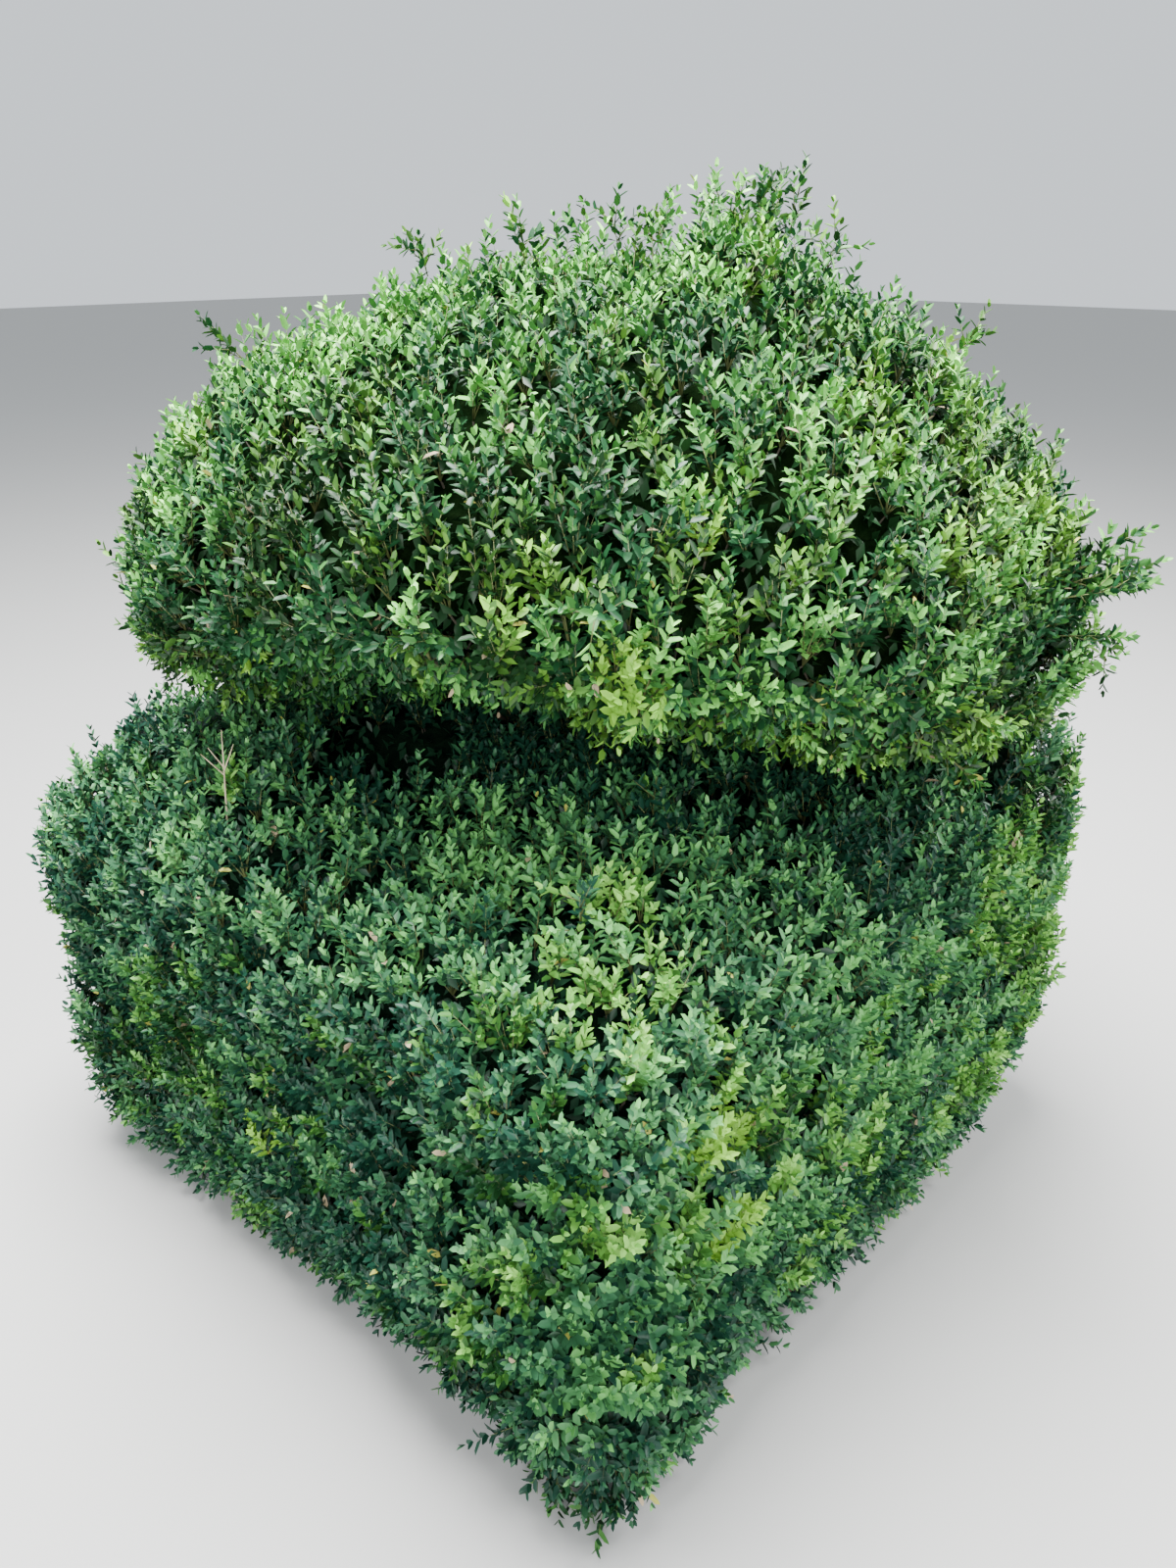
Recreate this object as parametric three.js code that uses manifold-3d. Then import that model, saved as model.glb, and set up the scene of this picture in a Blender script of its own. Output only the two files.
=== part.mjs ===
// A clipped box shrub: a round ball of foliage standing on a square block of foliage.
// Millimetres, +Z up. The origin is the middle of the flat cut under the stem, at ground level.
// X and Y run along the sides of the square block.
import * as THREE from 'three';
import { mergeVertices } from 'three/addons/utils/BufferGeometryUtils.js';
import Module from 'manifold-3d';

const wasm = await Module();
wasm.setup();

const UP = new THREE.Vector3(0, 0, 1);
const FULL_TURN = 2 * Math.PI;

// The gap where one solid stops short of its neighbour, the room left round a limb in a core, the
// length of a mass's own stem past its bough, and the finest edge that is kept
const CLEAR = 0.3;
const SOCKET_CLEAR = 5;
const MASS_STEM = 60;
const FINEST = 0.05;

// The square block, measured over the leaf tips
const BLOCK_HALF = 712;
const BLOCK_CORNER = 170;
const BLOCK_TOP = 890;
const FOOT_TUCK = 67;
const FOOT_RISE = 300;
const SHOULDER_IN = 220;
const SHOULDER_DOWN = 200;
const SHELF_INNER = 340;

// The ball, measured over the leaf tips; it sits a little off the block's middle
const BALL_X = 31;
const BALL_Y = -33;
const BALL_REACH = 742;
const BALL_MID = 1130;
const BALL_RISE = 476;
const BALL_DROP = 200;
const UNDER_INNER = 330;

// Places where a form is drawn in or swells out: the bearing and its spread in degrees, the height
// and its spread, and how far out. The ball has a recess over the block's shelf and a tuft on top,
// and the block has two worn shoulders and a foot that is uneven beside the near corner.
const ballSwells = [
  { bearing: 200, wide: 20, height: 1020, tall: 130, out: -180 },
  { bearing: 313, wide: 34, height: 1580, tall: 50, out: 55 },
];
const blockSwells = [
  { bearing: 135, wide: 15, height: 855, tall: 55, out: -50 },
  { bearing: 315, wide: 14, height: 770, tall: 150, out: -30 },
  { bearing: 208, wide: 12, height: 40, tall: 110, out: -45 },
  { bearing: 237, wide: 8, height: 60, tall: 90, out: 26 },
];

// The ball's underside round the plant: how far it drops and how full it is at each bearing. It is
// lifted and shallow toward the near corner, and hangs full on both sides of it.
const ballUnder = [
  { bearing: 0, drop: 200, full: 4 },
  { bearing: 150, drop: 195, full: 4 },
  { bearing: 165, drop: 140, full: 3 },
  { bearing: 180, drop: 95, full: 2.4 },
  { bearing: 200, drop: 85, full: 2 },
  { bearing: 232, drop: 130, full: 2 },
  { bearing: 248, drop: 175, full: 2.2 },
  { bearing: 270, drop: 200, full: 4 },
  { bearing: 300, drop: 200, full: 5 },
  { bearing: 360, drop: 200, full: 4 },
];

// The level that parts the space of the block's leaves from that of the ball's
const PARTING = 925;
const GROUND_CLEAR = 4;

// The dense core that the leaves stand out of
const CORE_DEPTH = 50;
const CORE_UNDER_DEPTH = 22;
const CORE_TOP_DEPTH = 44;
const CORE_FOOT = 30;
const CORE_SINK = 40;
const ROOT_DEPTH = CORE_DEPTH + CORE_SINK;
const UNEVEN = { by: 13, acrossX: 3.1, acrossY: 2.7, rise: 130, fall: 170 };

// Sprigs: a three-sided twig with two crossed pairs of leaves
const ROW_GAP = 326;
const ROW_JITTER = 0.3;
const TIP_DEPTH = 28;
const TWIG_FOOT = 8;
const TWIG_TIP = 5;
const LEAF_LENGTH = 134;
const LEAF_WIDTH = 70;
const LEAF_THICKNESS = 8;
const LEAF_SINK = 3;
const LEAF_SMALLEST = 0.85;
const LEAF_VARIES = 0.2;
const MOST_TWIST = 0.5;
const LEAN_OUT = 0.62;
const LEAN_UP = 0.8;
const LEAN_SWAY = [0.5, 0.5, 0.3];
const LEAST_SLOPE = 0.5;
const FRINGE = 28;
const STRAY_LEAF = 0.72;

// The stem at the foot
const STEM_RADIUS = 48;
const STEM_FLARE = 34;
const STEM_FORK = 300;
const STEM_LEAN = [16, -15];
const STEM_THINS = 0.12;
const FLARE_POWER = 5;

// Boughs: how many of each kind, the height that they leave the stem at, the ring and height of
// their tips, their radii, their sideways bend, and the part of a turn where the first one stands
const boughKinds = {
  leader: { count: 1, foot: STEM_FORK, ring: 40, tip: 1040, thick: 27, thin: 13, bend: 12, first: 0.04 },
  riser: { count: 4, foot: 214, ring: 175, tip: 1030, thick: 22, thin: 11, bend: 30, first: 0.14 },
  side: { count: 4, foot: 128, ring: 380, tip: 330, thick: 18, thin: 10, bend: 8, first: 0.125 },
};
const RISER_START_LIFT = 150;
const RISER_END_DROP = 420;
const RISER_END_IN = 0.35;

// Shoots that stand out past the clipped outline. Each grows from a place on its form, given as a
// part of a turn round it and a part of the way up its profile, and points along a bearing and
// a rise in degrees.
const ballStrays = [
  { turn: 0.806, along: 0.326, points: -52, rise: 10, length: 132 },
  { turn: 0.811, along: 0.347, points: -40, rise: 36, length: 120 },
  { turn: 0.87, along: 0.786, points: -60, rise: 78, length: 165 },
  { turn: 0.9, along: 0.823, points: 10, rise: 80, length: 155 },
  { turn: 0.83, along: 0.775, points: -47, rise: 74, length: 130 },
  { turn: 0.33, along: 0.807, points: 130, rise: 76, length: 84 },
  { turn: 0.5, along: 0.893, points: 200, rise: 82, length: 72 },
  { turn: 0.37, along: 0.593, points: 133, rise: 48, length: 84 },
  { turn: 0.87, along: 0.593, points: -47, rise: 46, length: 84 },
  { turn: 0.13, along: 0.85, points: 60, rise: 80, length: 76 },
  { turn: 0.62, along: 0.4, points: 215, rise: 20, length: 78 },
  { turn: 0.755, along: 0.156, points: -85, rise: -30, length: 88 },
];
const blockStrays = [
  { turn: 0.766, along: 0.93, points: 235, rise: 80, length: 88 },
  { turn: 0.725, along: 0.82, points: 225, rise: 74, length: 84 },
];

// The dead, bare twig on the block's shoulder
const DEAD_FOOT = [-605, 108, 774];
const DEAD_POINTS = 313;
const DEAD_RISE = 86;
const DEAD_LENGTH = 208;
const DEAD_THICK = 3;
const DEAD_FORKS = [
  { along: 0.62, points: 140, rise: 46, length: 55 },
  { along: 0.69, points: -47, rise: 66, length: 45 },
  { along: 0.72, points: 133, rise: 58, length: 35 },
];

// Repeatable random numbers from 0 to 1
function seeded(seed) {
  let state = seed >>> 0;
  return () => {
    state = (Math.imul(state, 1664525) + 1013904223) >>> 0;
    return state / 4294967296;
  };
}

function radians(degrees) {
  return THREE.MathUtils.degToRad(degrees);
}

function heading(bearing, rise) {
  const level = Math.cos(radians(rise));
  return new THREE.Vector3(
    level * Math.cos(radians(bearing)),
    level * Math.sin(radians(bearing)),
    Math.sin(radians(rise)),
  );
}

// Solids: three.js shapes turned into closed bodies that can be joined and cut
function toSolid(geometry) {
  geometry.deleteAttribute('normal');
  geometry.deleteAttribute('uv');
  const merged = mergeVertices(geometry, 1e-3);
  const mesh = new wasm.Mesh({
    numProp: 3,
    vertProperties: new Float32Array(merged.attributes.position.array),
    triVerts: new Uint32Array(merged.index.array),
  });
  return new wasm.Manifold(mesh);
}

function toMesh(solid, name, material) {
  const { vertProperties, triVerts } = solid.getMesh();
  const geometry = new THREE.BufferGeometry();
  geometry.setAttribute('position', new THREE.BufferAttribute(vertProperties, 3));
  geometry.setIndex(new THREE.BufferAttribute(triVerts, 1));
  geometry.computeVertexNormals();
  const mesh = new THREE.Mesh(geometry, material);
  mesh.name = name;
  return mesh;
}

function joined(solids) {
  return wasm.Manifold.union(solids);
}

// The largest body alone: scraps that a cut leaves are dropped, sealed hollows are filled, and
// slivers finer than FINEST are taken up
function onePiece(solid) {
  const largest = solid.decompose().reduce((a, b) => (a.volume() > b.volume() ? a : b));
  return largest.simplify(FINEST);
}

// A tapering limb: a cylinder bent along a curve, its radius set by how far along it is
function limb({ curve, radiusAt, sides, steps }, extra = 0) {
  const shape = new THREE.CylinderGeometry(1, 1, 1, sides, steps);
  const place = shape.attributes.position;
  const frames = curve.computeFrenetFrames(steps, false);
  for (let i = 0; i < place.count; i += 1) {
    const along = place.getY(i) + 0.5;
    const step = Math.round(along * steps);
    const point = curve.getPointAt(step / steps);
    const radius = radiusAt(step / steps) + extra;
    point.addScaledVector(frames.normals[step], place.getZ(i) * radius);
    point.addScaledVector(frames.binormals[step], place.getX(i) * radius);
    place.setXYZ(i, point.x, point.y, point.z);
  }
  return toSolid(shape);
}

function taper(thick, thin) {
  return (along) => thick + (thin - thick) * along;
}

// The stem: a flat foot, a root flare, a slight lean, and a flat top where it forks
function stemCurve() {
  const [leanX, leanY] = STEM_LEAN;
  return new THREE.QuadraticBezierCurve3(
    new THREE.Vector3(0, 0, 0),
    new THREE.Vector3(0, 0, STEM_FORK / 2),
    new THREE.Vector3(leanX, leanY, STEM_FORK),
  );
}

function stemRadius(along) {
  return STEM_RADIUS * (1 - STEM_THINS * along) + STEM_FLARE * (1 - along) ** FLARE_POWER;
}

const stem = { name: 'trunk', curve: stemCurve(), radiusAt: stemRadius, sides: 10, steps: 6, feeds: 'none' };

function stemSolid(extra) {
  const height = STEM_FORK + extra;
  const room = new THREE.BoxGeometry(4 * STEM_FORK, 4 * STEM_FORK, height);
  room.translate(0, 0, height / 2);
  return limb(stem, extra).intersect(toSolid(room));
}

// Boughs: the leader goes on from the fork, risers climb to the ball, sides reach out in the block
function boughCurve(kind, index) {
  const { count, foot, ring, tip, bend, first } = boughKinds[kind];
  const turn = FULL_TURN * (index / count + first);
  const out = new THREE.Vector3(Math.cos(turn), Math.sin(turn), 0);
  const across = new THREE.Vector3(-out.y, out.x, 0);
  const start = stemCurve().getPoint(foot / STEM_FORK);
  const end = new THREE.Vector3(0, 0, tip).addScaledVector(out, ring);
  if (kind === 'side') {
    const middle = start.clone().lerp(end, 0.5).addScaledVector(across, bend);
    return new THREE.QuadraticBezierCurve3(start, middle, end);
  }
  end.x += BALL_X;
  end.y += BALL_Y;
  if (kind === 'leader') {
    start.z += CLEAR;
    const middle = new THREE.Vector3(start.x, start.y, (foot + tip) / 2).addScaledVector(across, bend);
    return new THREE.QuadraticBezierCurve3(start, middle, end);
  }
  const leaving = start.clone().addScaledVector(out, ring).addScaledVector(UP, RISER_START_LIFT);
  const arriving = end.clone().addScaledVector(UP, -RISER_END_DROP);
  arriving.addScaledVector(out, -RISER_END_IN * ring).addScaledVector(across, bend);
  return new THREE.CubicBezierCurve3(start, leaving, arriving, end);
}

function eachBough() {
  const boughs = [];
  for (const [kind, { count, thick, thin }] of Object.entries(boughKinds)) {
    for (let index = 0; index < count; index += 1) {
      boughs.push({
        name: count > 1 ? `bough_${kind}_${index + 1}` : `bough_${kind}`,
        curve: boughCurve(kind, index),
        radiusAt: taper(thick, thin),
        sides: 6,
        steps: 6,
        feeds: kind === 'side' ? 'block' : 'ball',
      });
    }
  }
  return boughs;
}

function boughSolid(bough) {
  return onePiece(limb(bough).subtract(stemSolid(CLEAR)));
}

// A straight limb that goes on from another's tip, from one distance past the tip to another
function onward({ curve, radiusAt, sides }, from, to) {
  const line = new THREE.LineCurve3(
    curve.getPointAt(1).addScaledVector(curve.getTangentAt(1), from),
    curve.getPointAt(1).addScaledVector(curve.getTangentAt(1), to),
  );
  return { curve: line, radiusAt: () => radiusAt(1), sides, steps: 1 };
}

// The room that a limb takes up in a core: a little wider and longer than the limb
function socket(grown) {
  const end = limb(onward(grown, -SOCKET_CLEAR, 3 * SOCKET_CLEAR), SOCKET_CLEAR);
  return limb(grown, SOCKET_CLEAR).add(end);
}

// The mass's own stem, which takes over where its bough ends
function massStem(bough) {
  return limb(onward(bough, CLEAR, MASS_STEM));
}

// Outlines seen from above, one unit from middle to side, run through evenly from 0 to 1
function squareOutline() {
  const corner = BLOCK_CORNER / BLOCK_HALF;
  const inner = 1 - corner;
  const outline = new THREE.Path();
  outline.moveTo(1, -inner);
  outline.lineTo(1, inner);
  outline.absarc(inner, inner, corner, 0, Math.PI / 2);
  outline.lineTo(-inner, 1);
  outline.absarc(-inner, inner, corner, Math.PI / 2, Math.PI);
  outline.lineTo(-1, -inner);
  outline.absarc(-inner, -inner, corner, Math.PI, Math.PI * 1.5);
  outline.lineTo(inner, -1);
  outline.absarc(inner, -inner, corner, Math.PI * 1.5, FULL_TURN);
  return outline;
}

function roundOutline() {
  return new THREE.EllipseCurve(0, 0, 1, 1, 0, FULL_TURN);
}

// Profiles from the foot or underside up and in over the top, as reach and height
function blockProfile(depth, topDepth, foot, steps) {
  const points = [];
  for (let i = 0; i <= steps; i += 1) {
    const height = foot + ((FOOT_RISE - foot) * i) / steps;
    const tuck = FOOT_TUCK * (1 - height / FOOT_RISE) ** 1.5;
    points.push(new THREE.Vector2(BLOCK_HALF - tuck - depth, height));
  }
  for (let i = 0; i <= steps; i += 1) {
    const angle = ((Math.PI / 2) * i) / steps;
    points.push(new THREE.Vector2(
      BLOCK_HALF - SHOULDER_IN * (1 - Math.cos(angle)) - depth,
      BLOCK_TOP - SHOULDER_DOWN * (1 - Math.sin(angle)) - topDepth,
    ));
  }
  return points;
}

function ballProfile(depth, underDepth, steps) {
  const points = [];
  for (let i = 0; i <= 2 * steps; i += 1) {
    const angle = (Math.PI / 2) * (i / steps - 1);
    const rise = angle < 0 ? BALL_DROP - underDepth : BALL_RISE - depth;
    points.push(new THREE.Vector2(
      (BALL_REACH - depth) * Math.max(0, Math.cos(angle)),
      BALL_MID + rise * Math.sin(angle),
    ));
  }
  return points;
}

// How far the clipped surface swells out, or falls back where this is below 0
function unevenness(edge, height) {
  const { by, acrossX, acrossY, rise, fall } = UNEVEN;
  return by * Math.sin(acrossX * edge.x + height / rise) * Math.cos(acrossY * edge.y - height / fall);
}

// How far a form's swells stand out at a bearing and a height
function swellAt(swells, x, y, height) {
  const bearing = THREE.MathUtils.radToDeg(Math.atan2(y, x));
  return swells.reduce((total, { bearing: middle, wide, height: level, tall, out }) => {
    const turned = THREE.MathUtils.euclideanModulo(bearing - middle + 180, 360) - 180;
    return total + out * Math.exp(-((turned / wide) ** 2) - ((height - level) / tall) ** 2);
  }, 0);
}

// How far the underside drops and how full it is at a bearing
function underAt(under, x, y) {
  const bearing = THREE.MathUtils.euclideanModulo(THREE.MathUtils.radToDeg(Math.atan2(y, x)), 360);
  const next = under.findIndex((mark) => mark.bearing > bearing);
  const [before, after] = [under[next - 1], under[next]];
  const part = (bearing - before.bearing) / (after.bearing - before.bearing);
  return {
    drop: THREE.MathUtils.lerp(before.drop, after.drop, part),
    full: THREE.MathUtils.lerp(before.full, after.full, part),
  };
}

// Where a place of a profile ends up on its form: an even underside is lifted and filled out, and
// then swells are added. The size is the profile's own reach and drop.
function shaped({ under, swells }, size, edge, reach, height) {
  let [far, level] = [reach, height];
  if (under && height < BALL_MID) {
    const { drop, full } = underAt(under, edge.x, edge.y);
    const outward = reach / size.reach;
    const deepest = size.drop + (drop - BALL_DROP) * outward;
    far = size.reach * outward ** (2 / full);
    level = BALL_MID - deepest * ((BALL_MID - height) / size.drop) ** (2 / full);
  }
  return { reach: far * (1 + swellAt(swells, edge.x, edge.y, level) / BALL_REACH), height: level };
}

// The other way round: where a point of a form lies in the space of its even profile
function unshaped(form, size, point) {
  const x = point.x - form.centre.x;
  const y = point.y - form.centre.y;
  const reach = form.measure(x, y) / (1 + swellAt(form.swells, x, y, point.z) / BALL_REACH);
  if (!form.under || point.z >= BALL_MID) return { reach, height: point.z };
  const { drop, full } = underAt(form.under, x, y);
  const outward = Math.min(1, reach / size.reach) ** (full / 2);
  const deepest = size.drop + (drop - BALL_DROP) * outward;
  return {
    reach: Math.max(reach, size.reach) - size.reach + size.reach * outward,
    height: BALL_MID - size.drop * ((BALL_MID - point.z) / deepest) ** (full / 2),
  };
}

// A closed core: a lathed profile pushed out to the outline
function coreSolid(form) {
  const { coreProfile, coreSize, outline, segments, centre } = form;
  const closed = [
    new THREE.Vector2(0, coreProfile[0].y),
    ...coreProfile.filter((point) => point.x > 1),
    new THREE.Vector2(0, coreProfile.at(-1).y),
  ];
  const shape = new THREE.LatheGeometry(closed, segments);
  const place = shape.attributes.position;
  for (let i = 0; i < place.count; i += 1) {
    const reach = Math.hypot(place.getX(i), place.getZ(i));
    const turn = Math.atan2(place.getX(i), place.getZ(i)) / FULL_TURN;
    const edge = outline.getPoint((turn + 1) % 1);
    const at = shaped(form, coreSize, edge, reach, place.getY(i));
    const far = reach > 1 ? at.reach + unevenness(edge, at.height) : 0;
    place.setXYZ(i, centre.x + edge.x * far, centre.y + edge.y * far, at.height);
  }
  return toSolid(shape);
}

// A place on a form's outline surface, with the way that the surface faces there
function placeOn(form, turn, along) {
  const { x, y } = form.path.getPoint(along);
  const slope = form.path.getTangent(along);
  const edge = form.outline.getPoint(turn);
  const run = form.outline.getTangent(turn);
  const { reach, height } = shaped(form, form.size, edge, x, y);
  return {
    point: new THREE.Vector3(edge.x * reach, edge.y * reach, height).add(form.centre),
    normal: new THREE.Vector3(run.y * slope.y, -run.x * slope.y, -slope.x),
  };
}

// Evenly spread places on a form: rows up the profile, each run round the outline
function placesOn(form, random) {
  const rows = Math.round(form.path.getLength() / ROW_GAP);
  const places = [];
  for (let row = 0; row < rows; row += 1) {
    const along = (row + 0.5) / rows;
    const count = Math.round((form.around * form.path.getPoint(along).x) / ROW_GAP);
    for (let i = 0; i < count; i += 1) {
      places.push(placeOn(form, ((i + 0.5 * (row % 2) + ROW_JITTER * random()) / count) % 1, along));
    }
  }
  return places;
}

// One leaf: an eight-faced blade with its root at a point on the twig
function leaf(root, direction, face, size) {
  const shape = new THREE.OctahedronGeometry(1);
  const width = direction.clone().cross(face).normalize();
  const flat = width.clone().cross(direction).normalize();
  const frame = new THREE.Matrix4().makeBasis(width, direction, flat);
  const length = LEAF_LENGTH * size;
  shape.scale((LEAF_WIDTH * size) / 2, length / 2, LEAF_THICKNESS / 2);
  shape.applyMatrix4(frame);
  const middle = root.clone().addScaledVector(direction, length / 2 - LEAF_SINK);
  shape.translate(middle.x, middle.y, middle.z);
  shape.userData.root = root;
  return shape;
}

function twig(root, direction, length) {
  const shape = new THREE.CylinderGeometry(TWIG_TIP, TWIG_FOOT, length, 3, 1);
  shape.translate(0, length / 2, 0);
  const turn = new THREE.Quaternion().setFromUnitVectors(new THREE.Vector3(0, 1, 0), direction);
  shape.applyQuaternion(turn);
  shape.translate(root.x, root.y, root.z);
  return shape;
}

// A sprig: a twig with two crossed pairs of leaves that spread over the surface it stands out of,
// the second pair a little forward and all of them turned by a twist of the sprig's own
const sprigLeaves = [
  { turned: 0, lift: 0.36, along: 0.95, size: 1 },
  { turned: 65, lift: 0.26, along: 0.8, size: 0.9 },
  { turned: -65, lift: 0.26, along: 0.8, size: 0.9 },
  { turned: 176, lift: 0.44, along: 0.9, size: 0.75 },
];

function sprigShapes(root, direction, outward, length, size, twist) {
  const across = outward.clone().cross(direction).normalize();
  const onward = across.clone().cross(outward).normalize();
  const shapes = [twig(root, direction, length)];
  for (const { turned, lift, along, size: own } of sprigLeaves) {
    const place = root.clone().addScaledVector(direction, length * along);
    const side = onward.clone().applyAxisAngle(outward, radians(turned) + twist);
    const way = side.multiplyScalar(Math.sqrt(1 - lift * lift)).addScaledVector(outward, lift);
    shapes.push(leaf(place, way, outward, size * own));
  }
  return shapes;
}

// The farthest that a form reaches at a height, taken from its profile
function reachAt(profile, height) {
  let reach = 0;
  for (let i = 1; i < profile.length; i += 1) {
    const a = profile[i - 1];
    const b = profile[i];
    if ((a.y - height) * (b.y - height) <= 0 && a.y !== b.y) {
      reach = Math.max(reach, a.x + ((b.x - a.x) * (height - a.y)) / (b.y - a.y));
    }
  }
  return reach;
}

// How far a point lies from the middle, on the scale of the outline
function squareReach(x, y) {
  const corner = BLOCK_CORNER / BLOCK_HALF;
  const far = Math.max(Math.abs(x), Math.abs(y));
  const near = Math.min(Math.abs(x), Math.abs(y));
  if (near <= far * (1 - corner)) return far;
  const inner = 1 - corner;
  const a = 2 * inner * inner - corner * corner;
  const b = -2 * inner * (far + near);
  const c = far * far + near * near;
  return (-b - Math.sqrt(b * b - 4 * a * c)) / (2 * a);
}

function limbsClear(point, limbs) {
  return limbs.every(({ curve, radiusAt }) => {
    const nearest = Math.min(...curve.getPoints(20).map((place) => place.distanceTo(point)));
    return nearest > radiusAt(0) + LEAF_WIDTH / 2;
  });
}

function corners(shape) {
  const place = shape.attributes.position;
  return Array.from({ length: place.count }, (_, i) => new THREE.Vector3().fromBufferAttribute(place, i));
}

// Whether a shape keeps to its mass's side of the parting level, and off the ground
function inBand(shape, form) {
  return corners(shape).every(({ z }) => z > form.low && z < form.high);
}

// Whether a point is no farther than the fringe outside the clipped outline
function nearOutline(point, form) {
  const { reach, height } = unshaped(form, form.size, point);
  const beside = reachAt(form.profile, height) + FRINGE;
  const over = reachAt(form.profile, height - FRINGE);
  const under = reachAt(form.profile, height + FRINGE);
  return reach < Math.max(beside, over, under);
}

// Whether a shape also keeps within the clipped outline and off the limbs
function fits(shape, form, limbs) {
  return inBand(shape, form) && corners(shape).every(
    (point) => nearOutline(point, form) && limbsClear(point, limbs),
  );
}

// Whether a leaf would dip back into the core
function buried(shape, form) {
  const { root } = shape.userData;
  if (!root) return false;
  const tips = corners(shape).filter((point) => point.distanceTo(root) > LEAF_LENGTH / 3);
  return tips.some((point) => {
    const { reach, height } = unshaped(form, form.coreSize, point);
    return reach < reachAt(form.coreProfile, height) + 2;
  });
}

// Sprigs lean up from the surface, but hang level on the underside and by the ground
function sprigHeading({ point, normal }, random) {
  const lift = LEAN_UP * Math.min(1, Math.max(0, 1 + normal.z)) * Math.min(1, point.z / FOOT_RISE);
  const sway = new THREE.Vector3(...LEAN_SWAY.map((most) => most * (random() - 0.5)));
  return sway.addScaledVector(normal, LEAN_OUT).addScaledVector(UP, lift).normalize();
}

// A mass: its core, cut clear of the limbs, with its stems and sprigs fused on
function massSolid(form, limbs, strays, seed) {
  const random = seeded(seed);
  const shapes = [];
  placesOn(form, random).forEach((spot) => {
    const direction = sprigHeading(spot, random);
    const root = spot.point.clone().addScaledVector(spot.normal, -ROOT_DEPTH);
    const length = (ROOT_DEPTH - TIP_DEPTH) / Math.max(LEAST_SLOPE, direction.dot(spot.normal));
    const size = LEAF_SMALLEST + LEAF_VARIES * random();
    const twist = MOST_TWIST * (2 * random() - 1);
    const sprig = sprigShapes(root, direction, spot.normal, length, size, twist);
    if (fits(sprig[0], form, limbs)) {
      shapes.push(...sprig.filter((shape) => fits(shape, form, limbs) && !buried(shape, form)));
    }
  });
  for (const stray of strays) {
    const { point, normal } = placeOn(form, stray.turn, stray.along);
    const root = point.clone().addScaledVector(normal, -ROOT_DEPTH);
    const direction = heading(stray.points, stray.rise);
    const sprig = sprigShapes(root, direction, normal, stray.length, STRAY_LEAF, 0);
    shapes.push(...sprig.filter((shape) => inBand(shape, form) && !buried(shape, form)));
  }
  const core = coreSolid(form).subtract(joined(limbs.map(socket)));
  const fed = limbs.filter(({ feeds }) => feeds === form.name).map(massStem);
  return onePiece(joined([core, ...fed, ...shapes.map(toSolid)]));
}

// The dead twig: a bare forked shoot standing in a socket in the block's core
function straight(foot, points, rise, length) {
  return new THREE.LineCurve3(foot, foot.clone().addScaledVector(heading(points, rise), length));
}

const deadShoot = {
  curve: straight(new THREE.Vector3(...DEAD_FOOT), DEAD_POINTS, DEAD_RISE, DEAD_LENGTH),
  radiusAt: taper(DEAD_THICK, DEAD_THICK * 0.4),
  sides: 5,
  steps: 2,
  feeds: 'none',
};

function deadTwigSolid() {
  const forks = DEAD_FORKS.map(({ along, points, rise, length }) => limb({
    curve: straight(deadShoot.curve.getPoint(along), points, rise, length),
    radiusAt: taper(DEAD_THICK * 0.6, DEAD_THICK * 0.3),
    sides: 4,
    steps: 1,
  }));
  return onePiece(joined([limb(deadShoot), ...forks]));
}

function finish(colour, roughness) {
  return new THREE.MeshStandardMaterial({ color: colour, roughness, metalness: 0 });
}

const bark = finish(0x6b5d48, 0.9);
const blockLeaves = finish(0x2c5a38, 0.5);
const ballLeaves = finish(0x4a7d33, 0.45);
const deadWood = finish(0xb59a78, 0.85);

const boughs = eachBough();
const limbs = [stem, ...boughs];

const squareAround = 8 * (1 - BLOCK_CORNER / BLOCK_HALF) + FULL_TURN * (BLOCK_CORNER / BLOCK_HALF);

const block = {
  name: 'block',
  centre: new THREE.Vector3(0, 0, 0),
  outline: squareOutline(),
  around: squareAround,
  measure: squareReach,
  profile: [...blockProfile(0, 0, 0, 6), new THREE.Vector2(SHELF_INNER, BLOCK_TOP)],
  coreProfile: blockProfile(CORE_DEPTH, CORE_TOP_DEPTH, CORE_FOOT, 3),
  segments: 40,
  swells: blockSwells,
  low: GROUND_CLEAR,
  high: PARTING - 1,
};
const ball = {
  name: 'ball',
  centre: new THREE.Vector3(BALL_X, BALL_Y, 0),
  outline: roundOutline(),
  around: FULL_TURN,
  measure: Math.hypot,
  profile: ballProfile(0, 0, 8).filter(({ x, y }) => x > UNDER_INNER || y > BALL_MID),
  coreProfile: ballProfile(CORE_DEPTH, CORE_UNDER_DEPTH, 5),
  segments: 28,
  size: { reach: BALL_REACH, drop: BALL_DROP },
  coreSize: { reach: BALL_REACH - CORE_DEPTH, drop: BALL_DROP - CORE_UNDER_DEPTH },
  swells: ballSwells,
  under: ballUnder,
  low: PARTING + 1,
  high: Infinity,
};

block.path = new THREE.Path(block.profile);
ball.path = new THREE.Path(ball.profile);

const plant = new THREE.Group();
plant.add(toMesh(stemSolid(0), stem.name, bark));
for (const bough of boughs) {
  plant.add(toMesh(boughSolid(bough), bough.name, bark));
}
plant.add(toMesh(massSolid(block, [...limbs, deadShoot], blockStrays, 11), 'foliage_block', blockLeaves));
plant.add(toMesh(massSolid(ball, limbs, ballStrays, 23), 'foliage_ball', ballLeaves));
plant.add(toMesh(deadTwigSolid(), 'dead_twig', deadWood));

export default plant;
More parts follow.
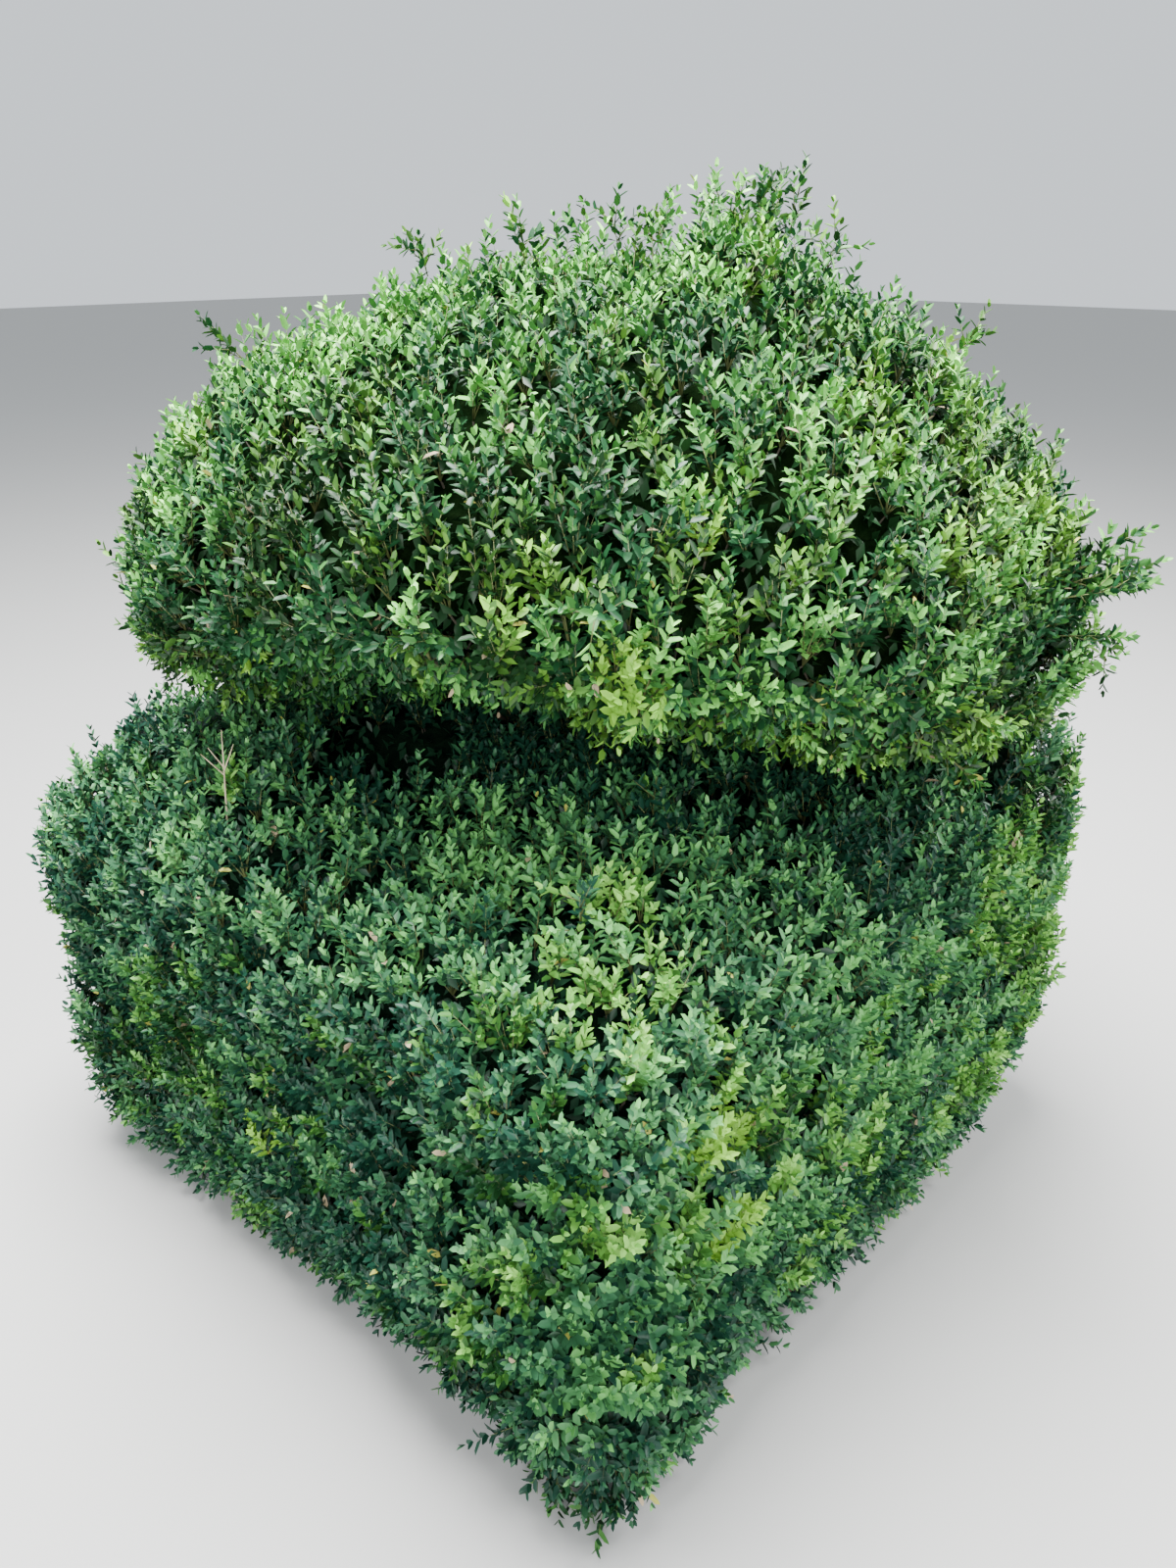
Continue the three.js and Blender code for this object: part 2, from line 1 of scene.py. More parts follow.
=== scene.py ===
"""A clipped box shrub: a round ball of foliage standing on a square block of foliage.

Metres, +Z up, X and Y along the sides of the block, with the origin under the stem. The part's
solids give the limbs and the reach of both masses. Here each mass becomes a dark core, branches
that grow on from the boughs, and sprays of shoots that carry crossed pairs of leaves.
"""

import math

import bpy
import numpy as np
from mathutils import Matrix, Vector, noise


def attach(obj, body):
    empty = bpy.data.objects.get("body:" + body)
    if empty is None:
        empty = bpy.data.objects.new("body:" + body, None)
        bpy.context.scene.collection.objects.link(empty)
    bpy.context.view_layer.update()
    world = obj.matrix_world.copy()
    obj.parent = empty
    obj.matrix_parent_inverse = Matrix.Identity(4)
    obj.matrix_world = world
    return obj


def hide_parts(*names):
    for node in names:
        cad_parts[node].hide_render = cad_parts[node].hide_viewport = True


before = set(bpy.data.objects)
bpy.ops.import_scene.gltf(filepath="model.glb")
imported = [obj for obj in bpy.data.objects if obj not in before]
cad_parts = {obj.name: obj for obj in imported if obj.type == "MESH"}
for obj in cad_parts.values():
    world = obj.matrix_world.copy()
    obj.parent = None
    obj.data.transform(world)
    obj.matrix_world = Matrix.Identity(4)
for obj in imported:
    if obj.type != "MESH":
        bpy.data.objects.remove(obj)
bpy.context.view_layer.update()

UP = np.array([0.0, 0.0, 1.0])
FULL_TURN = 2 * math.pi
GOLDEN_TURN = FULL_TURN * 0.381966

# How finely a form's surface is measured
SMALL_STEP = 0.004
WAYS_UP = 180
WAY_STEPS = 160

# The square block, measured over the leaf tips
BLOCK_HALF = 0.712
BLOCK_CORNER = 0.170
BLOCK_TOP = 0.890
FOOT_TUCK = 0.067
FOOT_RISE = 0.300
FOOT_POWER = 1.5
SHOULDER_IN = 0.220
SHOULDER_DOWN = 0.200
SHELF_INNER = 0.120
SHELF_RISE = 0.075

# The ball, measured over the leaf tips
BALL_CENTRE = (0.031, -0.033)
BALL_REACH = 0.742
BALL_MID = 1.130
BALL_RISE = 0.476
BALL_DROP = 0.200
UNDER_INNER = 0.220
UNDER_MIDDLE = 0.270

# The ball's underside round the plant: the bearing, how far it drops and how full it is there. It
# is lifted and shallow toward the near corner, and hangs full on both sides of it.
BALL_UNDER = [
    (0, 0.200, 4.0),
    (130, 0.245, 4.0),
    (150, 0.205, 4.0),
    (162, 0.155, 2.8),
    (172, 0.120, 2.4),
    (182, 0.090, 2.2),
    (194, 0.060, 2.0),
    (208, 0.065, 2.0),
    (220, 0.110, 2.3),
    (232, 0.110, 2.3),
    (242, 0.150, 2.3),
    (250, 0.180, 2.4),
    (260, 0.220, 2.8),
    (270, 0.245, 3.4),
    (285, 0.250, 4.5),
    (315, 0.245, 5.0),
    (360, 0.200, 4.0),
]

# Places where a form is drawn in or swells out: the bearing and its spread in degrees, the height
# and its spread, and how far out. The ball has a recess over the block's shelf and a tuft on top,
# and the block has two worn shoulders, one full below, and a foot that is uneven beside the near
# corner.
BALL_SWELLS = [
    (200, 20, 1.020, 0.130, -0.180),
    (313, 34, 1.580, 0.050, 0.055),
]
BLOCK_SWELLS = [
    (135, 18, 0.800, 0.070, -0.055),
    (135, 16, 0.585, 0.090, 0.034),
    (315, 14, 0.770, 0.150, -0.030),
    (208, 12, 0.040, 0.110, -0.045),
    (237, 8, 0.060, 0.090, 0.026),
]

# Lumps and hollows of the clipped surface: the middle of each, how far it spreads, and how far it
# stands out. Smaller ones come from noise, sunk so that few stand out past the clipping.
LUMPS = {
    "block": [
        ((-0.27, -0.42, 0.89), 0.15, 0.030),
        ((-0.45, -0.50, 0.88), 0.11, 0.035),
        ((-0.47, 0.13, 0.91), 0.14, 0.065),
        ((-0.64, 0.03, 0.84), 0.07, 0.030),
        ((-0.62, -0.62, 0.03), 0.09, 0.044),
        ((-0.70, 0.05, 0.10), 0.16, -0.015),
        ((-0.68, 0.60, 0.12), 0.24, 0.030),
        ((-0.33, 0.07, 0.92), 0.10, -0.070),
        ((-0.66, 0.06, 0.80), 0.06, 0.035),
        ((0.52, -0.66, 0.84), 0.17, 0.038),
    ],
    "ball": [
        ((0.11, -0.25, 1.60), 0.105, 0.075),
        ((-0.24, 0.16, 1.58), 0.24, -0.030),
        ((-0.10, 0.42, 1.52), 0.14, -0.020),
        ((0.62, -0.30, 1.42), 0.16, 0.020),
        ((0.42, -0.68, 1.12), 0.22, 0.022),
        ((0.40, -0.66, 0.95), 0.18, 0.050),
    ],
}
LUMP_SIZE = 0.230
LUMP_HEIGHT = 0.024
LUMP_SINKS = 0.012

# The level that parts the two masses, how far their leaves may stray past it, and how far the
# leaves stay off the ground
PARTING = 0.925
PARTING_STRAY = 0.070
GROUND_CLEAR = 0.003

# The dark core of each mass, with the two colours of each: near black, as painted shade for the
# deep inside of the foliage
CORE_DEPTH = 0.080
CORE_FOOT = 0.027
CORE_SEGMENTS = 72
CORE_RINGS = 36
CORE_RELIEF = 0.020
CORE_GRAIN = 0.060
POLE_REACH = 0.001
CORE_SHADE_TINTS = {
    "block": ((0.002, 0.006, 0.004), (0.005, 0.014, 0.007)),
    "ball": ((0.001, 0.004, 0.001), (0.004, 0.010, 0.003)),
}

# Dim leaves close over the core
INNER_GAP = 0.0180
INNER_DEPTHS = (0.042, 0.074)
INNER_LENGTH = 0.024
INNER_LEAN_OUT = 0.3
INNER_LEAN_UP = 0.4
INNER_SCATTER = 0.6
INNER_FACE_UP = 0.3
INNER_FACE_SCATTER = 0.5

# Sprays: a branchlet that forks into shoots
SEEDS = {"block": 101, "ball": 202}
SPRAY_GAP = 0.0537
ROW_JITTER = 0.7
ROOT_LEANS = 0.35
ROOT_DEPTH = 0.125
FORK_DEPTH = 0.068
SPRAY_SHOOTS = 6
SPRAY_REACH = 0.036
SPRAY_ROUNDING = 0.014
SHOOT_TIP_DEPTHS = (0.008, 0.026)
LEAN_OUT = 0.62
LEAN_UP = 0.80
LEAN_SWAY = np.array([0.5, 0.5, 0.3])
LEAST_SLOPE = 0.5
LONG_SHARE = 0.11
LONG_SHARE_ON_TOP = 0.12
LONG_REACH = 0.034
LONG_REACH_ON_TOP = 0.016
BRANCHLET_RADIUS = 0.0026
SHOOT_RADIUS = 0.0013
TUFT_SIZE = 0.080
TUFT_HEIGHT = 0.021
RING_JITTER = 0.3

# Where sprays are missing: the middle of the patch, its spread, and the share that is missing
BARE_PATCHES = {
    "block": [((-0.33, 0.07, 0.91), 0.10, 1.6)],
    "ball": [],
}

# Where single shoots stand out farther: the middle of the patch, its spread, and how much farther
LONG_PATCHES = {
    "block": [((-0.62, -0.62, 0.85), 0.25, 0.020)],
    "ball": [((0.11, -0.25, 1.60), 0.11, 0.050), ((-0.05, 0.00, 1.60), 0.18, 0.015)],
}

# Shoots that stand out past the clipped surface: the part of a turn and the part of the way up
# where each grows, its bearing and rise in degrees, and its length
STRAYS = {
    "ball": [
        (0.806, 0.376, -52, 10, 0.122),
        (0.808, 0.376, -50, 24, 0.110),
        (0.811, 0.390, -44, 38, 0.104),
        (0.800, 0.366, -54, 2, 0.096),
        (0.803, 0.390, -48, 18, 0.092),
        (0.812, 0.372, -52, 30, 0.088),
        (0.798, 0.380, -56, 12, 0.084),
        (0.804, 0.356, -50, 8, 0.100),
        (0.870, 0.830, -60, 80, 0.140),
        (0.890, 0.835, 10, 80, 0.135),
        (0.910, 0.835, -47, 82, 0.130),
        (0.860, 0.845, 130, 84, 0.130),
        (0.880, 0.860, -47, 78, 0.115),
        (0.930, 0.860, 133, 80, 0.105),
        (0.840, 0.897, 133, 78, 0.105),
        (0.850, 0.865, 160, 80, 0.115),
        (0.850, 0.790, -47, 76, 0.085),
        (0.950, 0.925, 133, 80, 0.064),
        (0.800, 0.940, -47, 80, 0.064),
        (0.000, 0.965, 133, 76, 0.062),
        (0.330, 0.821, 130, 76, 0.048),
        (0.500, 0.901, 200, 82, 0.046),
        (0.370, 0.623, 133, 48, 0.052),
        (0.870, 0.623, -47, 46, 0.062),
        (0.130, 0.861, 60, 80, 0.060),
        (0.620, 0.444, 215, 20, 0.078),
        (0.755, 0.218, -85, -30, 0.060),
    ],
    "block": [
        (0.766, 0.784, 235, 80, 0.088),
        (0.725, 0.692, 225, 74, 0.084),
    ],
}
STRAY_DEPTH = 0.030
STRAY_SIDE_SHOOTS = 5
STRAY_SIDE_LENGTH = 0.050
STRAY_SIDE_SPREAD = 0.55
STRAY_SIDE_STEP = 0.15

# Branches that carry the sprays, and how deep a twig has to lie to count as inside
BRANCH_GAP = 0.250
BRANCH_DEPTH = 0.200
BRANCH_RADII = (0.0075, 0.0045)
HIDDEN_DEPTH = 0.018
BRANCH_FORK_SHARE = 0.7

# Leaves: crossed pairs counted back from the shoot's tip
PAIR_GAP = 0.0110
MOST_PAIRS = 9
OUTER_PAIRS = 4
LEAFY_SHARE = 0.86
LEAF_LENGTH = {"block": 0.0200, "ball": 0.0188}
LEAF_SHAPE = 0.44
LEAF_FOLD = 0.14
LEAF_DROOP = 0.12
LEAF_VARIES = 0.18
LEAF_TIP_FROM = 0.6
OUTER_LEAF = {"corners": 6, "widest": 0.5, "tapers": 0.84}
INNER_LEAF = {"corners": 4, "widest": 0.55, "tapers": 1}
OPEN_AT_TIP = math.radians(26)
OPEN_AT_FOOT = math.radians(56)
OPENING_PAIRS = 4
YOUNG_SIZES = (0.62, 0.86)
LEAF_SWAY = 0.16
FACE_TO_SKY = 0.45

# Where leaves are larger: the middle of the patch, its spread, and the share that it adds
LARGE_LEAVES = {
    "block": [((-0.58, -0.64, 0.28), 0.20, 0.22)],
    "ball": [((-0.40, -0.50, 1.20), 0.35, 0.08), ((0.36, -0.84, 1.16), 0.14, 0.25)],
}

# Wood and leaf finishes
SHOOT_TINT = (0.115, 0.135, 0.040)
BRANCHLET_TINT = (0.036, 0.030, 0.018)
LEAF_ROUGHNESS = 0.44
LEAF_GLOSS = 0.24

# Leaf tints of each mass: two families, each from its oldest leaves to its youngest; the levels
# also serve as shaded and lit copies of each family, painted shade and light
LEAF_TINTS = {
    "block": {
        "blue": [(0.006, 0.04, 0.022), (0.026, 0.101, 0.043), (0.06, 0.196, 0.068), (0.13, 0.385, 0.104)],
        "green": [(0.009, 0.052, 0.013), (0.04, 0.142, 0.024), (0.104, 0.29, 0.046), (0.228, 0.51, 0.098)],
    },
    "ball": {
        "olive": [(0.009, 0.04, 0.01), (0.04, 0.112, 0.017), (0.105, 0.255, 0.032), (0.245, 0.55, 0.066)],
        "green": [(0.009, 0.056, 0.018), (0.044, 0.163, 0.034), (0.118, 0.356, 0.066), (0.255, 0.65, 0.132)],
    },
}
# The dim leaves' tints are dark: painted shade for leaves deep in the mass
DIM_TINTS = {"block": (0.007, 0.034, 0.015), "ball": (0.006, 0.030, 0.008)}
YOUNG_TINT = (0.190, 0.410, 0.045)
YELLOW_TINT = (0.400, 0.400, 0.080)
TAN_TINT = (0.400, 0.320, 0.200)
# The levels' names give the leaves' age; darker levels also stand for painted shade and lighter ones for
# painted light
LEVELS = ("old", "grown", "fresh", "pale")

# How often a leaf is a level lighter than its spray, and a level darker, by its pair from the tip
LIGHTER = (0.50, 0.32, 0.14, 0.08)
DARKER = (0.04, 0.12, 0.34, 0.50, 0.70)

# Where sprays are lighter or darker, and where they take the second family's colour: the middle
# of the patch, how far it spreads, and how much it adds there. The lighter and darker patches are
# partly the leaves' own age and partly painted light and shade: painted shade under the ball, over
# the block's shelf and on the ball's low side, and painted light on the ball's top and the block's
# near corner.
AGE_AND_LIGHTING_PATCHES = {
    "block": [
        ((-0.56, -0.64, 0.32), 0.12, 1.20),
        ((-0.47, -0.47, 0.87), 0.14, 1.30),
        ((-0.53, -0.57, 0.74), 0.13, 1.00),
        ((-0.62, -0.62, 0.52), 0.18, 0.45),
        ((0.62, -0.70, 0.45), 0.35, 0.40),
        ((-0.18, -0.70, 0.64), 0.30, 0.95),
        ((0.10, -0.66, 0.15), 0.30, 0.40),
        ((-0.70, 0.10, 0.50), 0.45, -0.40),
        ((-0.60, -0.20, 0.05), 0.30, -1.00),
        ((0.00, -0.58, 0.95), 0.24, -0.80),
        ((-0.54, 0.16, 0.88), 0.26, 0.80),
        ((-0.47, -0.20, 0.87), 0.20, 0.90),
        # Painted shade under the ball, over the middle of the block's shelf
        ((-0.33, 0.07, 0.95), 0.13, -3.00),
        ((-0.05, -0.12, 0.96), 0.20, -2.00),
        ((0.30, -0.70, 0.60), 0.30, 0.50),
    ],
    "ball": [
        ((-0.25, 0.30, 1.50), 0.45, 0.45),
        ((-0.45, -0.48, 1.30), 0.25, -0.30),
        ((0.20, -0.20, 1.62), 0.35, 0.20),
        ((0.65, -0.40, 1.20), 0.25, 0.15),
        # Painted shade on the ball's low side, over the recess
        ((-0.60, -0.04, 1.02), 0.24, -2.00),
        ((-0.34, -0.55, 0.98), 0.22, 0.10),
        ((0.25, -0.65, 0.98), 0.22, 0.20),
        ((-0.63, -0.10, 1.13), 0.16, -1.20),
    ],
}
SECOND_PATCHES = {
    "block": [
        ((0.66, -0.60, 0.50), 0.40, 1.1),
        ((-0.60, 0.15, 0.15), 0.30, 0.6),
        ((-0.55, -0.65, 0.56), 0.17, 1.2),
        ((-0.49, -0.53, 0.84), 0.17, 1.4),
        ((-0.36, -0.20, 0.93), 0.26, -1.3),
        ((0.00, -0.52, 0.93), 0.34, -1.3),
        ((-0.56, 0.34, 0.86), 0.26, -0.9),
        ((0.60, 0.60, 0.50), 0.50, 0.4),
    ],
    "ball": [
        ((0.00, 0.00, 1.60), 0.60, 1.0),
        ((-0.30, -0.55, 1.25), 0.30, 0.4),
        ((0.65, -0.30, 1.20), 0.45, 0.6),
        ((-0.50, 0.40, 1.25), 0.45, 0.6),
    ],
}

# Where whole sprays are young and yellow-green
YOUNG_PATCHES = {
    "block": [
        ((-0.44, -0.70, 0.62), 0.044, 1.0),
        ((-0.43, -0.70, 0.54), 0.044, 1.0),
        ((-0.42, -0.70, 0.46), 0.044, 1.0),
        ((-0.41, -0.70, 0.38), 0.044, 0.8),
    ],
    "ball": [
        ((-0.50, -0.50, 1.17), 0.050, 0.5),
        ((-0.43, -0.50, 1.33), 0.090, 0.15),
        ((-0.62, 0.05, 1.20), 0.080, 0.3),
    ],
}
LIGHT_MOTTLE = 0.9
LIGHT_MOTTLE_SIZE = 0.12
LIGHT_SCATTER = 0.42
LIGHT_STEPS = (-0.28, 0.42, 1.35)
SECOND_MOTTLE = 0.9
SECOND_MOTTLE_SIZE = 0.26
SECOND_MOTTLE_SHIFT = 5.0
SECOND_SCATTER = 0.40
SECOND_STEP = {"block": 0.48, "ball": 0.25}
YOUNG_SHARE = {"block": 0.003, "ball": 0.015}
YELLOW_SHARE = 0.002
TAN_SHARE = 0.002

# The stem at the foot
STEM_RADIUS = 0.048
STEM_FLARE = 0.034
STEM_FORK = 0.300
STEM_LEAN = (0.016, -0.015)
STEM_THINS = 0.12
FLARE_POWER = 5
STEM_CONTROLS = [(0, 0, 0), (0, 0, STEM_FORK / 2), (*STEM_LEAN, STEM_FORK)]

# Boughs: how many of each kind, the height that they leave the stem at, the ring and height of
# their tips, their radii, their sideways bend, and the part of a turn where the first one stands
BOUGH_KINDS = {
    "leader": dict(
        count=1, foot=STEM_FORK, ring=0.040, tip=1.040, thick=0.027, thin=0.013, bend=0.012, first=0.04,
    ),
    "riser": dict(
        count=4, foot=0.214, ring=0.175, tip=1.030, thick=0.022, thin=0.011, bend=0.030, first=0.14,
    ),
    "side": dict(
        count=4, foot=0.128, ring=0.380, tip=0.330, thick=0.018, thin=0.010, bend=0.008, first=0.125,
    ),
}
RISER_START_LIFT = 0.150
RISER_END_DROP = 0.420
RISER_END_IN = 0.35
LIMB_STEPS = 24
STEM_SMOOTHNESS = 8
BOUGH_SMOOTHNESS = 4
BARK_RELIEF = 0.0035
BARK_GRAIN = 0.012
BARK_STRETCH = 7.0
BELOW_CUT = 3 * BARK_RELIEF

# The dead twig on the block's shoulder: its foot, its shoot's bearing, rise and length, and
# for each fork the part of the shoot where it leaves, its bearing, rise and length
DEAD_FOOT = (-0.605, 0.108, 0.774)
DEAD_SHOOT = (313, 86, 0.202)
DEAD_THICK = 0.0024
DEAD_FORKS = [
    (0.66, 140, 50, 0.044),
    (0.69, -47, 66, 0.045),
    (0.72, 133, 58, 0.035),
]
DEAD_STEPS = 8
DEAD_THINS = 0.6
DEAD_FORK_STEPS = 5
DEAD_FORK_SHARES = (0.6, 0.3)
DEAD_RELIEF = 0.0012
DEAD_GRAIN = 0.010

# The camera at the photo's angle, the floor and the light from all round
EYE = (-1.356, -1.310, 1.600)
LOOKS_DOWN = 25
LOOKS_ALONG = 43
LENS = 27.0
FLOOR_SIDE = 60
LIGHTS_AIM = 0.9
SKY_TINT = (0.88, 0.94, 1.0)
SKY_STRENGTH = 1.08


# Vectors, many at a time

def unit(vectors):
    return vectors / np.linalg.norm(vectors, axis=-1, keepdims=True)


def dots(a, b):
    return np.sum(a * b, axis=-1)


def heading(bearing, rise):
    level = math.cos(math.radians(rise))
    turn = math.radians(bearing)
    return np.array([level * math.cos(turn), level * math.sin(turn), math.sin(math.radians(rise))])


def scatter(count, amount, rng):
    """Random vectors of about the given length."""
    return amount * rng.standard_normal((count, 3))


def together(sets):
    """One set of arrays from several with the same keys."""
    return {key: np.concatenate([each[key] for each in sets]) for key in sets[0]}


def square_to(vectors):
    """Two directions square to each vector and to one another."""
    helper = np.where(np.abs(vectors[:, 2:]) > 0.9, [[1.0, 0.0, 0.0]], [[0.0, 0.0, 1.0]])
    first = unit(np.cross(vectors, helper))
    return first, np.cross(vectors, first)


# Outlines and profiles, run through evenly from 0 to 1

class Way:
    """A line of points that can be read at any part of its length."""

    def __init__(self, points, closed=False):
        self.points = np.array(points)
        self.closed = closed
        steps = np.linalg.norm(np.diff(self.points, axis=0), axis=1)
        self.marks = np.concatenate([[0.0], np.cumsum(steps)])
        self.length = self.marks[-1]

    def at(self, part):
        part = part % 1 if self.closed else np.clip(part, 0, 1)
        along = part * self.length
        return np.stack([np.interp(along, self.marks, self.points[:, i]) for i in (0, 1)], axis=-1)


def arc(middle, radius, start, end, steps=12):
    turns = np.linspace(start, end, steps + 1)
    return [(middle[0] + radius * math.cos(t), middle[1] + radius * math.sin(t)) for t in turns]


def square_outline():
    """A square of half side 1 with round corners, closed on its first point."""
    corner = BLOCK_CORNER / BLOCK_HALF
    inner = 1 - corner
    quarter = math.pi / 2
    points = [(1, -inner)]
    for index, (x, y) in enumerate([(1, 1), (-1, 1), (-1, -1), (1, -1)]):
        points += arc((x * inner, y * inner), corner, index * quarter, (index + 1) * quarter)
    return Way(points, closed=True)


def round_outline():
    return Way(arc((0, 0), 1, 0, FULL_TURN, 96), closed=True)


def block_profile():
    heights = np.linspace(0, FOOT_RISE, 9)
    points = [(BLOCK_HALF - FOOT_TUCK * (1 - z / FOOT_RISE) ** FOOT_POWER, z) for z in heights]
    for turn in np.linspace(0, math.pi / 2, 13):
        reach = BLOCK_HALF - SHOULDER_IN * (1 - math.cos(turn))
        points.append((reach, BLOCK_TOP - SHOULDER_DOWN * (1 - math.sin(turn))))
    return Way(points + [(SHELF_INNER, BLOCK_TOP + SHELF_RISE)])


def ball_profile():
    points = []
    for turn in np.linspace(-math.pi / 2, math.pi / 2, 49):
        reach = BALL_REACH * max(0, math.cos(turn))
        rise = BALL_DROP if turn < 0 else BALL_RISE
        if turn >= 0 or reach > UNDER_INNER:
            points.append((reach, BALL_MID + rise * math.sin(turn)))
    return Way(points)


def turned_from(edge, bearing):
    """How many degrees each place of an outline stands to one side of a bearing."""
    return (np.degrees(np.arctan2(edge[:, 1], edge[:, 0])) - bearing + 180) % 360 - 180


class Form:
    """A clipped mass: its outline from above, its profile, its swells and where it ends."""

    def __init__(self, name, centre, outline, profile, swells, under, low, high):
        self.name = name
        self.centre = np.array([*centre, 0.0])
        self.outline = outline
        self.profile = profile
        self.swells = swells
        self.under = under
        self.low = low
        self.high = high

    def surface(self, turn, along):
        """Points on the clipped surface."""
        reach, height = self.profile.at(along).T
        edge = self.outline.at(turn)
        if self.under:
            reach, height = self.hung(edge, reach, height)
        reach = reach * (1 + self.swell(edge, height) / BALL_REACH)
        return np.stack([edge[:, 0] * reach, edge[:, 1] * reach, height], axis=-1) + self.centre

    def place(self, turn, along):
        """Places on the clipped surface, with the way that it faces there."""
        near = np.clip(along, 2 * SMALL_STEP, 1 - 2 * SMALL_STEP)
        round_it = self.surface(turn + SMALL_STEP, near) - self.surface(turn - SMALL_STEP, near)
        up_it = self.surface(turn, near + SMALL_STEP) - self.surface(turn, near - SMALL_STEP)
        return self.surface(turn, along), unit(np.cross(round_it, up_it))

    def swell(self, edge, height):
        """How far the form stands out past its profile at each place."""
        total = np.zeros(len(edge))
        for bearing, wide, level, tall, out in self.swells:
            aside = turned_from(edge, bearing) / wide
            above = (height - level) / tall
            total += out * np.exp(-aside ** 2 - above ** 2)
        return total

    def hung(self, edge, reach, height):
        """Each place of the even underside where it hangs at its bearing."""
        bearings, drops, fullness = np.array(self.under).T
        bearing = turned_from(edge, 180) + 180
        power = 2 / np.interp(bearing, bearings, fullness)
        outward = reach / BALL_REACH
        deepest = UNDER_MIDDLE + (np.interp(bearing, bearings, drops) - UNDER_MIDDLE) * outward
        sunk = np.clip((BALL_MID - height) / BALL_DROP, 0, 1)
        below = height < BALL_MID
        hung = BALL_MID - deepest * sunk ** power
        return np.where(below, BALL_REACH * outward ** power, reach), np.where(below, hung, height)

    def ways_up(self):
        """At each of many bearings, the true length of the way up at each part of the profile."""
        turns = np.repeat(np.arange(WAYS_UP) / WAYS_UP, WAY_STEPS)
        alongs = np.tile(np.linspace(0, 1, WAY_STEPS), WAYS_UP)
        grid = self.surface(turns, alongs).reshape(WAYS_UP, WAY_STEPS, 3)
        steps = np.linalg.norm(np.diff(grid, axis=1), axis=2)
        return np.concatenate([np.zeros((WAYS_UP, 1)), np.cumsum(steps, axis=1)], axis=1)

    def places(self, gap, rng):
        """Evenly spread places: rows up the surface, each run round the outline."""
        lengths = self.ways_up()
        parts = np.linspace(0, 1, WAY_STEPS)
        rows = round(lengths[:, -1].mean() / gap)
        turns = []
        alongs = []
        for row in range(rows):
            middle = [np.interp((row + 0.5) / rows * way[-1], way, parts) for way in lengths]
            reach = self.profile.at(np.array(middle))[:, 0].mean()
            count = max(3, round(self.outline.length * reach / gap))
            jitter = ROW_JITTER * (rng.random(count) - 0.5)
            turn = (np.arange(count) + 0.5 * (row % 2) + jitter) / count % 1
            jitter = ROW_JITTER * (rng.random(count) - 0.5)
            upward = (row + 0.5 + jitter) / rows
            ways = lengths[(turn * WAYS_UP).astype(int)]
            alongs += [np.interp(part * way[-1], way, parts) for part, way in zip(upward, ways)]
            turns.append(turn)
        return self.place(np.concatenate(turns), np.array(alongs))


BLOCK = Form(
    "block", (0, 0), square_outline(), block_profile(), BLOCK_SWELLS, under=[],
    low=GROUND_CLEAR, high=PARTING + PARTING_STRAY,
)
BALL = Form(
    "ball", BALL_CENTRE, round_outline(), ball_profile(), BALL_SWELLS, under=BALL_UNDER,
    low=PARTING - PARTING_STRAY, high=math.inf,
)


# Patches, lumps and mottling of a surface

def patched(patches, points):
    """What a list of patches adds at each point: each has a middle, a spread and a height."""
    total = np.zeros(len(points))
    for middle, spread, adds in patches:
        apart = np.sum((points - np.array(middle)) ** 2, axis=1)
        total += adds * np.exp(-apart / spread ** 2)
    return total


def surface_relief(form, points):
    """How far the surface stands out past the form at each point."""
    return patched(LUMPS[form.name], points) + LUMP_HEIGHT * mottle(points, LUMP_SIZE) - LUMP_SINKS


def mottle(points, size):
    """Smooth noise from about -1 to 1, with patches of about the given size."""
    return np.array([noise.noise(Vector(point) / size) for point in points])


# Meshes from arrays

def select_only(piece):
    bpy.ops.object.select_all(action="DESELECT")
    piece.select_set(True)
    bpy.context.view_layer.objects.active = piece


def mesh_piece(name, points, faces, material):
    """A piece from arrays: all its faces have the same number of corners."""
    mesh = bpy.data.meshes.new(name)
    count, sides = faces.shape
    mesh.vertices.add(len(points))
    mesh.vertices.foreach_set("co", points.astype(np.float32).ravel())
    mesh.loops.add(count * sides)
    mesh.loops.foreach_set("vertex_index", faces.astype(np.int32).ravel())
    mesh.polygons.add(count)
    mesh.polygons.foreach_set("loop_start", np.arange(0, count * sides, sides, dtype=np.int32))
    mesh.update(calc_edges=True)
    mesh.materials.append(material)
    piece = bpy.data.objects.new(name, mesh)
    bpy.context.scene.collection.objects.link(piece)
    return piece


def keep(piece, slot, *nodes):
    """Hands a finished piece to the frame."""
    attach(piece, "root")
    if nodes:
        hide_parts(*nodes)


# Materials

def plain_finish(name, colour, roughness, specular=0.5):
    material = bpy.data.materials.new(name)
    material.use_nodes = True
    shader = material.node_tree.nodes["Principled BSDF"]
    shader.inputs["Base Color"].default_value = (*colour, 1)
    shader.inputs["Roughness"].default_value = roughness
    shader.inputs["Specular IOR Level"].default_value = specular
    return material


